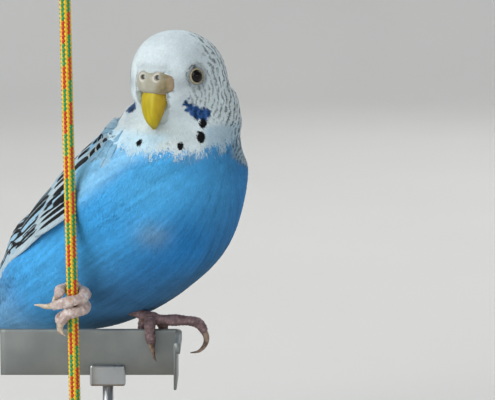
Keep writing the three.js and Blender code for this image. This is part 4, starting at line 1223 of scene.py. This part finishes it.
def bill_surface():
    s = Surface("bill_horn", 0.5, Coat_Weight=0.05, Coat_Roughness=0.3, Specular_IOR_Level=0.3)
    place = s.node("Mapping", {0: s.place(), "Scale": (1, 1, 0.25)}).outputs[0]
    grain = s.noise(700.0, 4.0, place)
    base = s.blend(s.ramp(grain, 0.3, 0.72), "8f8004", "c0ab0c")
    s.colour(s.blend(0.55, base, s.attribute("tone").outputs["Color"]))
    s.bump(grain, 0.00015, 0.5)
    return s.material


def cere_form():
    rings = []
    for i in range(26):
        t = mix(CERE[0][0], CERE[-1][0], math.sin(math.pi / 2 * i / 25))
        width, height = (float(smooth(CERE, k, t)) for k in (1, 2))
        rings.append(ellipse(np.array([t, CERE_Y, CERE_Z]), LEFT, UP, width, height, height, 64, 0.75))
    parts = [loft_of(rings)]
    for side in (1, -1):
        centre = np.array([NOSTRIL[0] - 1.9, NOSTRIL[1] * side, NOSTRIL[2] - 0.5])
        parts.append(ball_form(centre, (2.1, 2.3, 1.9), 32, 20))
    verts, faces = together(parts)
    return head_to_row(verts), faces


def cere_surface():
    s = Surface("cere_skin", 0.6)
    grain = s.noise(500.0, 5.0)
    fine = s.noise(2200.0, 3.0)
    base = s.blend(s.ramp(grain, 0.3, 0.7), "7f7450", "b6b4a6")
    tan = s.attribute("tone").outputs["Color"]
    base = s.blend(0.7, base, tan)
    freckle = s.ramp(fine, 0.62, 0.72)
    s.colour(s.blend(s.times(freckle, 0.45), base, "7d6247"))
    s.bump(s.plus(grain, fine), 0.0002, 0.6)
    return s.material


def make_bill():
    horn = bill_surface()
    for name, rows in (("upper", BILL_UPPER), ("lower", BILL_LOWER)):
        verts, faces = bill_form(rows, 60, 48, -0.45 if name == "lower" else 0.0)
        piece = new_object(f"bill_{name}_horn", head_to_row(verts), faces, horn)
        # Ochre towards the left side and the tip, with a painted highlight as a pale streak beside the ridge
        tones = np.tile(srgb("b6a408"), (len(verts), 1))
        tones = tinge(tones, "a58220", step01(0.9, 2.9, verts[:, 1]))
        # Painted highlight: a pale streak along the upper bill beside the ridge.
        streak = bell(verts[:, 1] - 0.8, 0.35) * step01(-10.5, -8, verts[:, 2])
        tones = tinge(tones, "d6c848", 0.6 * streak)
        tones = tinge(tones, "8f7d22", 0.6 * step01(-9.5, -12, verts[:, 2]))
        set_colours(piece.data, "tone", tones)
        settle(piece, "bill", "bill_" + name)


def make_cere():
    piece = remeshed("cere_pad", *cere_form(), cere_surface(), 0.2, 5)
    p = row_to_head(points_of(piece.data))
    tones = np.tile(srgb("a6a598"), (len(p), 1))
    tones = tinge(tones, "74622f", 0.85 * step01(1.2, 4.0, p[:, 1] - 0.3 * p[:, 2]))
    tones = tinge(tones, "655228", 0.6 * step01(3.2, 4.6, p[:, 1]) * step01(0.5, -1.5, p[:, 2]))
    border = step01(5.1, 5.7, p[:, 1]) + step01(-1.9, -2.5, p[:, 2]) * step01(1, 3, p[:, 1])
    tones = tinge(tones, "a3845e", 0.8 * border.clip(0, 1))
    for side in (1, -1):
        spot = NOSTRIL * [1, side, 1] + [0, 0.25, -0.45]
        flat = np.hypot(p[:, 1] - spot[1], p[:, 2] - spot[2])
        ahead = p[:, 0] > 15.5
        pit = step01(0.85, 0.35, flat) * ahead
        rim = bell(flat - 1, 0.35) * ahead * step01(1.2, -0.4, p[:, 1] - spot[1])
        p[:, 0] += rim * 0.1 - pit * 1.3
        tones = tinge(tones, "efece8", 0.7 * rim)
        # Painted shade: the nostril hole is painted near-black.
        tones = tinge(tones, "1a1512", step01(0.8, 0.5, flat) * ahead)
    move_points(piece.data, head_to_row(p))
    set_colours(piece.data, "tone", tones)
    settle(piece, "cere", "cere")


def make_eyes():
    glass = Surface("eye_gloss", 0.06, Specular_IOR_Level=0.22)
    ring = glass.attribute("ring").outputs["Fac"]
    glass.colour(glass.blend(glass.ramp(ring, 0.3, 0.75), "030303", "0c0806"))
    lid = simple_surface("eyelid_skin", "8d846c", "bab29a", 2600.0, 0.6, 0.00008)
    for name, side in (("left", 1), ("right", -1)):
        spot, out = eye_spot(side)
        a = unit(np.cross(out, UP))
        c = np.cross(a, out)
        spread = circle(full_turn(EYE_SIDES), a, c)
        rings, fade = [], []
        for lat in np.linspace(-math.pi / 2 + 0.02, math.pi / 2 - 0.02, 40):
            r, z = EYE_RADIUS * math.cos(lat), EYE_RADIUS * math.sin(lat)
            bulge = 0.12 * math.exp(-((r / 1.2) ** 2)) if z > 0 else 0
            rings.append(spot + spread * r + out * (z + bulge))
            fade += [r / EYE_RADIUS] * EYE_SIDES
        verts, faces = loft_of(rings)
        piece = new_object("eyeball_" + name, head_to_row(verts), faces, glass.material)
        set_attribute(piece.data, "ring", "FLOAT", fade)
        settle(piece, "eye", "eye_" + name)
        profile = np.array([[1.7, 0.9], [1.78, 1.04], [1.92, 1.1], [2.08, 1.02], [2.2, 0.8],
                            [2.3, 0.3], [2.26, -0.3], [2.0, -0.5], [1.72, 0.1]])
        dense = curve_through(np.column_stack([profile, np.zeros(len(profile))]), 26)
        angle = full_turn(LID_SIDES)
        verts = []
        for r, z, _ in dense:
            bead = 0.05 * (np.abs(np.sin(angle * 15)) - 0.5) * (1.75 < r < 2.2) * (z > 0.9)
            # The lids draw the ring slightly to a point before and behind.
            long = 1 + 0.03 * np.cos(2 * angle)
            rise = out * (z + bead)[:, None]
            verts.append(spot + circle(angle, a, c) * ((r + bead * 0.4) * long)[:, None] + rise)
        faces = ring_faces(len(verts), LID_SIDES, cap=False)
        last = (len(verts) - 1) * LID_SIDES
        for j in range(LID_SIDES):
            k = (j + 1) % LID_SIDES
            faces.append([last + j, last + k, k, j])
        piece = new_object("lid_" + name, head_to_row(np.concatenate(verts)), faces, lid)
        settle(piece, "eyelid", "eyelid_" + name)


make_bill()
make_cere()
make_eyes()

# Feet
ROPE_X = -28.8
ROPE_Y = -12
GRIP_Z = 8.2
TOE = [1.4, 1.25, 1.4, 1.15, 1.25, 0.95]
CLAW = [1.0, 0.8, 0.5, 0.12]


def corner(x, y, z):
    return CORNER + np.array([x, y, z], float)


def rope_at(z):
    return corner(ROPE_X - math.tan(math.radians(ROPE_LEAN)) * (z - GRIP_Z), ROPE_Y, z)


FULLNESS = {"right": 1.25, "left": 1.2}
GRIP_BACK = rope_at(GRIP_Z) + [1.2, ROPE_RADIUS + 2.4, 1.0]
GRIP_REACH = ROPE_RADIUS + GAP + 1.45
SHANK = [2.0, 1.4, 1.4, 1.8]
SOLE = (2.2, 1.9, 1.9)


def toe_round(level, sweep, drop, start, end):
    spots = [GRIP_BACK]
    for t in np.linspace(0, 1, 7):
        angle = math.radians(start + sweep * t)
        offset = [math.cos(angle) * GRIP_REACH, math.sin(angle) * GRIP_REACH, 0]
        spots.append(rope_at(GRIP_Z + level - drop * t) + offset)
    return [*spots, rope_at(GRIP_Z) + end]


RIGHT_TOES = [
    ((4.6, -175, 2.2, 75, [-5.4, -3.3, 1.1]), [[-7.0, -3.1, 1.0], [-8.8, -2.8, 1.3], [-10.3, -2.2, 1.3]]),
    ((1.5, -185, 2.7, 70, [-3.0, -2.4, -3.6]), [[-3.2, -2.0, -5.0], [-2.8, -2.2, -6.3], [-1.9, -2.8, -7.2]]),
    ((5.4, 115, 0.8, 80, [-4.0, -0.4, 3.6]), [[-4.8, -0.2, 2.2], [-5.2, 0.5, 0.8], [-4.9, 1.5, -0.3]]),
    ((-2.0, 120, 1.2, 85, [-3.4, 0.2, -3.9]), [[-3.7, 0.4, -5.4], [-3.8, 1.1, -6.8], [-3.4, 2.2, -7.8]]),
]
LEFT_TOES = [
    ([[-7.5, 0.4, 2.6], [-3, -0.4, 2.6], [1.5, -0.9, 2.6], [5.4, -1.1, 1.9], [7.3, -1.1, -0.6]],
     [[7.7, -1.1, -2.2], [7.3, -1.1, -4.3], [5.6, -1.1, -6.1], [3.2, -1.1, -6.6]]),
    ([[-7.5, 0.2, 2.6], [-8, -2.3, 2.0], [-8, -3.1, -0.6], [-7.6, -2.9, -3.6]],
     [[-7.4, -2.8, -5.0], [-7, -3.0, -7.0], [-6.3, -3.7, -8.6]]),
    ([[-7.8, 0.8, 2.6], [-9.6, 2.4, 1.9], [-10.4, 3.1, -0.8], [-10.6, 2.9, -3.6]],
     [[-10.6, 2.7, -5.0], [-10.6, 2.9, -6.9], [-10.4, 3.6, -8.4]]),
    ([[-7.2, 0.8, 2.6], [-5.2, 2.4, 1.9], [-4.4, 3.1, -0.8], [-4.2, 2.9, -4.2]],
     [[-4.2, 2.7, -5.6], [-4.2, 2.9, -7.5], [-4.4, 3.6, -9.0]]),
]
FEET = {
    "right": (corner(-24.8, -1.2, 11.6), GRIP_BACK,
              [(toe_round(*toe), [rope_at(GRIP_Z) + p for p in claw]) for toe, claw in RIGHT_TOES]),
    "left": (corner(-16.5, 4.5, 5.4), corner(-7.5, 0.6, 2.9),
             [([corner(*p) for p in toe], [corner(*p) for p in claw]) for toe, claw in LEFT_TOES]),
}


def scutes(length):
    """Overlapping plates over a toe, each a little proud at its far edge."""
    return lambda t, angle: 0.2 * ((length * t) % 1) ** 2 - 0.1 + 0.04 * np.cos(angle * 6)


def make_feet():
    skins = {}
    # The left foot's skin colours are darker copies of the right's: painted shade of the foot in shadow behind
    # the rim.
    for name, low, high, crease, ochre in [
        ("right", "bfa8a0", "e6dad6", "8f746c", "b98a45"),
        ("left", "665053", "94797c", "3a2c2e", "7d5b2c"),
    ]:
        s = Surface("leg_skin_" + name, 0.6)
        cells = s.node("TexVoronoi", {"Scale": 1000.0})
        s.tree.links.new(s.place(), cells.inputs["Vector"])
        grain = s.noise(420.0, 4.0)
        base = s.blend(s.ramp(grain, 0.3, 0.7), low, high)
        base = s.blend(s.times(s.ramp(s.noise(260.0, 2.0), 0.6, 0.72), 0.7), base, ochre)
        edge = s.ramp(cells.outputs["Distance"], 0.3, 0.65)
        s.colour(s.blend(s.times(edge, 0.4), base, crease))
        s.bump(s.less(grain, cells.outputs["Distance"]), 0.0002, 0.8)
        skins[name] = s.material
    # The left claws are the pale claw horn darkened with painted shade, for the shaded left foot.
    horns = {
        "right": simple_surface("claw_horn_pale", "a8917a", "d8cab8", 900.0, 0.4, 0.00006),
        "left": simple_surface("claw_horn_painted_shade", "5d4b40", "a08a78", 900.0, 0.4, 0.00006),
    }
    for name, (hock, pad, toes) in FEET.items():
        parts = [ball_form(pad, SOLE)]
        shank = curve_through([hock, (hock + pad) / 2, pad], 40)
        parts.append(tube(shank, SHANK, 24, scutes(np.linalg.norm(hock - pad))))
        for toe, _ in toes:
            length = np.linalg.norm(np.diff(np.array(toe), axis=0), axis=1).sum()
            parts.append(tube(curve_through(toe, 90), np.array(TOE) * FULLNESS[name], 24, scutes(length)))
        foot = remeshed("foot_skin_" + name, *together(parts), skins[name], 0.2, 1)
        settle(foot, "leg_skin", "foot_" + name, "leg_" + name)
        for i, (toe, claw) in enumerate(toes):
            end = mix(np.array(toe[-1]), np.array(toe[-2]), 0.25)
            verts, faces = tube(curve_through([end, *claw], 32), CLAW, 20)
            piece = new_object(f"claw_horn_{name}_{i + 1}", verts, faces, horns[name])
            settle(piece, "claw", f"claw_{name}_{i + 1}")


make_feet()

# Rope: rice-grain stitches of a round braid over a core
BRAID_COLUMNS = 10
BRAID_PITCH = 1.22
STITCH_SIDES = 8


def make_rope():
    low, high = rope_at(-ROPE_BELOW), rope_at(ROPE_ABOVE)
    axis = unit(high - low)
    length = np.linalg.norm(high - low)
    a = unit(np.cross(axis, np.array([0.0, -1.0, 0.0])))
    c = np.cross(axis, a)
    colours = {"yellow": srgb("f7cb12"), "red": srgb("cc3410"), "green": srgb("14965a")}
    u = full_turn(STITCH_SIDES)
    verts, faces, tints = [], [], []
    rings = 7
    for column in range(BRAID_COLUMNS):
        angle = math.radians(-63 + 360 / BRAID_COLUMNS * column)
        out = a * math.sin(angle) - c * math.cos(angle)
        side = np.cross(axis, out)
        slant = 0.42 if column % 2 else -0.42
        lay = unit(axis + side * slant)
        beside = np.cross(out, lay)
        count = int(length / BRAID_PITCH)
        for j in range(count):
            rise = (j + 0.5 + 0.5 * (column % 2)) * BRAID_PITCH
            if rise > length - 0.5:
                continue
            accent = "red" if ((j + 3 - column) // 5) % 2 else "green"
            tint = colours[accent if column % 2 else "yellow"]
            middle = low + axis * rise + out * (ROPE_RADIUS - 0.5)
            half = 0.86 + rng.normal(0, 0.02)
            for i in range(rings):
                s = -1 + 2 * i / (rings - 1)
                wide = 0.52 * max(1 - s * s, 0.02) ** 0.5
                tall = 0.5 * max(1 - s * s, 0.02) ** 0.5
                spine = middle + lay * s * half - out * 0.1 * s * s
                verts.append(spine + circle(u, beside * wide, out * tall))
            faces += ring_faces(rings, STITCH_SIDES, True, len(tints))
            tints += [tint] * (rings * STITCH_SIDES)
    path = low + np.linspace(0, 1, 30)[:, None] * (high - low)
    core, core_faces = tube(path, [ROPE_RADIUS - 0.55] * 3, 24)
    start = len(tints)
    verts.append(core)
    faces += [[n + start for n in face] for face in core_faces]
    tints += [srgb("9a7a12")] * len(core)
    s = Surface("braid", 0.5, Sheen_Weight=0.2)
    tint = s.attribute("tint").outputs["Color"]
    yarn = s.noise(3200.0, 2.0, s.node("Mapping", {0: s.place(), "Scale": (1, 1, 0.3)}).outputs[0])
    s.colour(s.blend(s.ramp(yarn, 0.3, 0.7), s.blend(0.22, tint, (0, 0, 0)), tint))
    s.bump(yarn, 0.0001, 0.6)
    piece = new_object("rope_braid", np.concatenate(verts), faces, s.material)
    set_colours(piece.data, "tint", np.array(tints))
    settle(piece, "rope", "perch_rope")


make_rope()

# Tray rim, rods and base
def lathe(profile, sides, centre):
    return loft_of([circle(full_turn(sides), FORWARD, LEFT) * r + UP * z + centre for r, z in profile])


PERCH_ROD_X = -20
ROD_SIDES = 48
ROD_BEVEL = 0.1
BASE_SIDES = 144
RIM_BEND = 1.3


def rim_form():
    """The tray's hemmed rim: one section swept along the wall, round the corner and back along the return."""
    hem, fold = TRAY_HEM / 2, 0.7
    sheet = TRAY_SHEET - hem
    outline = [(-hem, -TRAY_HEIGHT + 0.2), (0.2 - hem, -TRAY_HEIGHT), (sheet - 0.2, -TRAY_HEIGHT),
               (sheet, -TRAY_HEIGHT + 0.2), (sheet, -3.05), (sheet + 0.1, -3.0)]
    outline += [(hem - 0.3 + 0.3 * math.sin(k), -2.7 - 0.3 * math.cos(k)) for k in quarter(5)]
    outline += [(hem - fold + fold * math.cos(k), fold * math.sin(k) - fold) for k in quarter(8)]
    outline += [(fold - hem - fold * math.sin(k), fold * math.cos(k) - fold) for k in quarter(8)]
    path = [(np.array([x, 0.0]), np.array([0.0, 1.0])) for x in np.linspace(-TRAY_LENGTH, -RIM_BEND, 30)]
    for k in quarter(12)[1:]:
        out = np.array([math.sin(k), math.cos(k)])
        path.append((np.array([-RIM_BEND, -RIM_BEND]) + RIM_BEND * out, out))
    path += [(np.array([0.0, y]), np.array([1.0, 0.0])) for y in np.linspace(-RIM_BEND, -TRAY_RETURN, 14)[1:]]
    rings = [CORNER + np.array([[*(at + out * a), z] for a, z in outline]) for at, out in path]
    return loft_of(rings)


def rounded_block(centre, size, radius):
    made = bmesh.new()
    bmesh.ops.create_cube(made, size=1)
    bmesh.ops.scale(made, vec=size, verts=made.verts)
    bmesh.ops.bevel(made, geom=list(made.edges), offset=radius, segments=4, profile=0.5, affect="EDGES")
    verts = np.array([vert.co for vert in made.verts]) + centre
    faces = [[vert.index for vert in face.verts] for face in made.faces]
    made.free()
    return verts, faces


def make_stand():
    tin = simple_surface("tray_tin", "858b8b", "979c9b", 90.0, 0.5, 0.00003, Metallic=0.55)
    piece = new_object("tray_rim_sheet", *rim_form(), tin)
    settle(piece, "tray_steel", "perch_tray_rim")
    steel = simple_surface("rod_steel", "a9acae", "b9bcbe", 60.0, 0.3, 0.00001, Metallic=1.0)
    top = CORNER[2] - TRAY_HEIGHT
    rod = [(ROD_RADIUS - ROD_BEVEL, BASE_HEIGHT + GAP), (ROD_RADIUS, BASE_HEIGHT + GAP + ROD_BEVEL)]
    shaft = lathe([*rod, (ROD_RADIUS, top - 2.5)], ROD_SIDES, np.array([CORNER[0] + PERCH_ROD_X, CORNER[1], 0]))
    block = rounded_block(corner(PERCH_ROD_X, 0, -TRAY_HEIGHT), (10, 4, 6), 0.7)
    piece = new_object("stand_perch_rod_steel", *together([shaft, block]), steel)
    settle(piece, "rod", "stand_rod_perch")
    foot = rope_at(-ROPE_BELOW)
    end = foot[2] - GAP
    profile = [*rod, (ROD_RADIUS, end - ROD_BEVEL), (ROD_RADIUS - ROD_BEVEL, end)]
    verts, faces = lathe(profile, ROD_SIDES, np.array([foot[0], foot[1], 0]))
    piece = new_object("stand_rope_rod_steel", verts, faces, steel)
    settle(piece, "rod", "stand_rod_rope")
    wood = Surface("base_wood", 0.45, Coat_Weight=0.2, Coat_Roughness=0.3)
    place = wood.node("Mapping", {0: wood.place(), "Scale": (1, 9, 9)}).outputs[0]
    figure = wood.noise(26.0, 6.0, place, 0.6)
    pores = wood.noise(320.0, 3.0, place)
    base = wood.blend(wood.ramp(figure, 0.35, 0.68), "7a5c3f", "b48f66")
    wood.colour(wood.blend(wood.times(wood.ramp(pores, 0.56, 0.7), 0.5), base, "4c3522"))
    wood.bump(wood.plus(figure, pores), 0.0002, 0.4)
    edge = [(BASE_RADIUS - 1 + math.sin(k), 1 - math.cos(k)) for k in quarter(6)]
    profile = [(0.5, 0), (20, 0)] + edge
    profile += [(r, BASE_HEIGHT - z) for r, z in reversed(edge)] + [(20, BASE_HEIGHT), (0.5, BASE_HEIGHT)]
    verts, faces = lathe(profile, BASE_SIDES, np.zeros(3))
    piece = new_object("stand_base_wood", verts, faces, wood.material)
    settle(piece, "base", "stand_base")


make_stand()

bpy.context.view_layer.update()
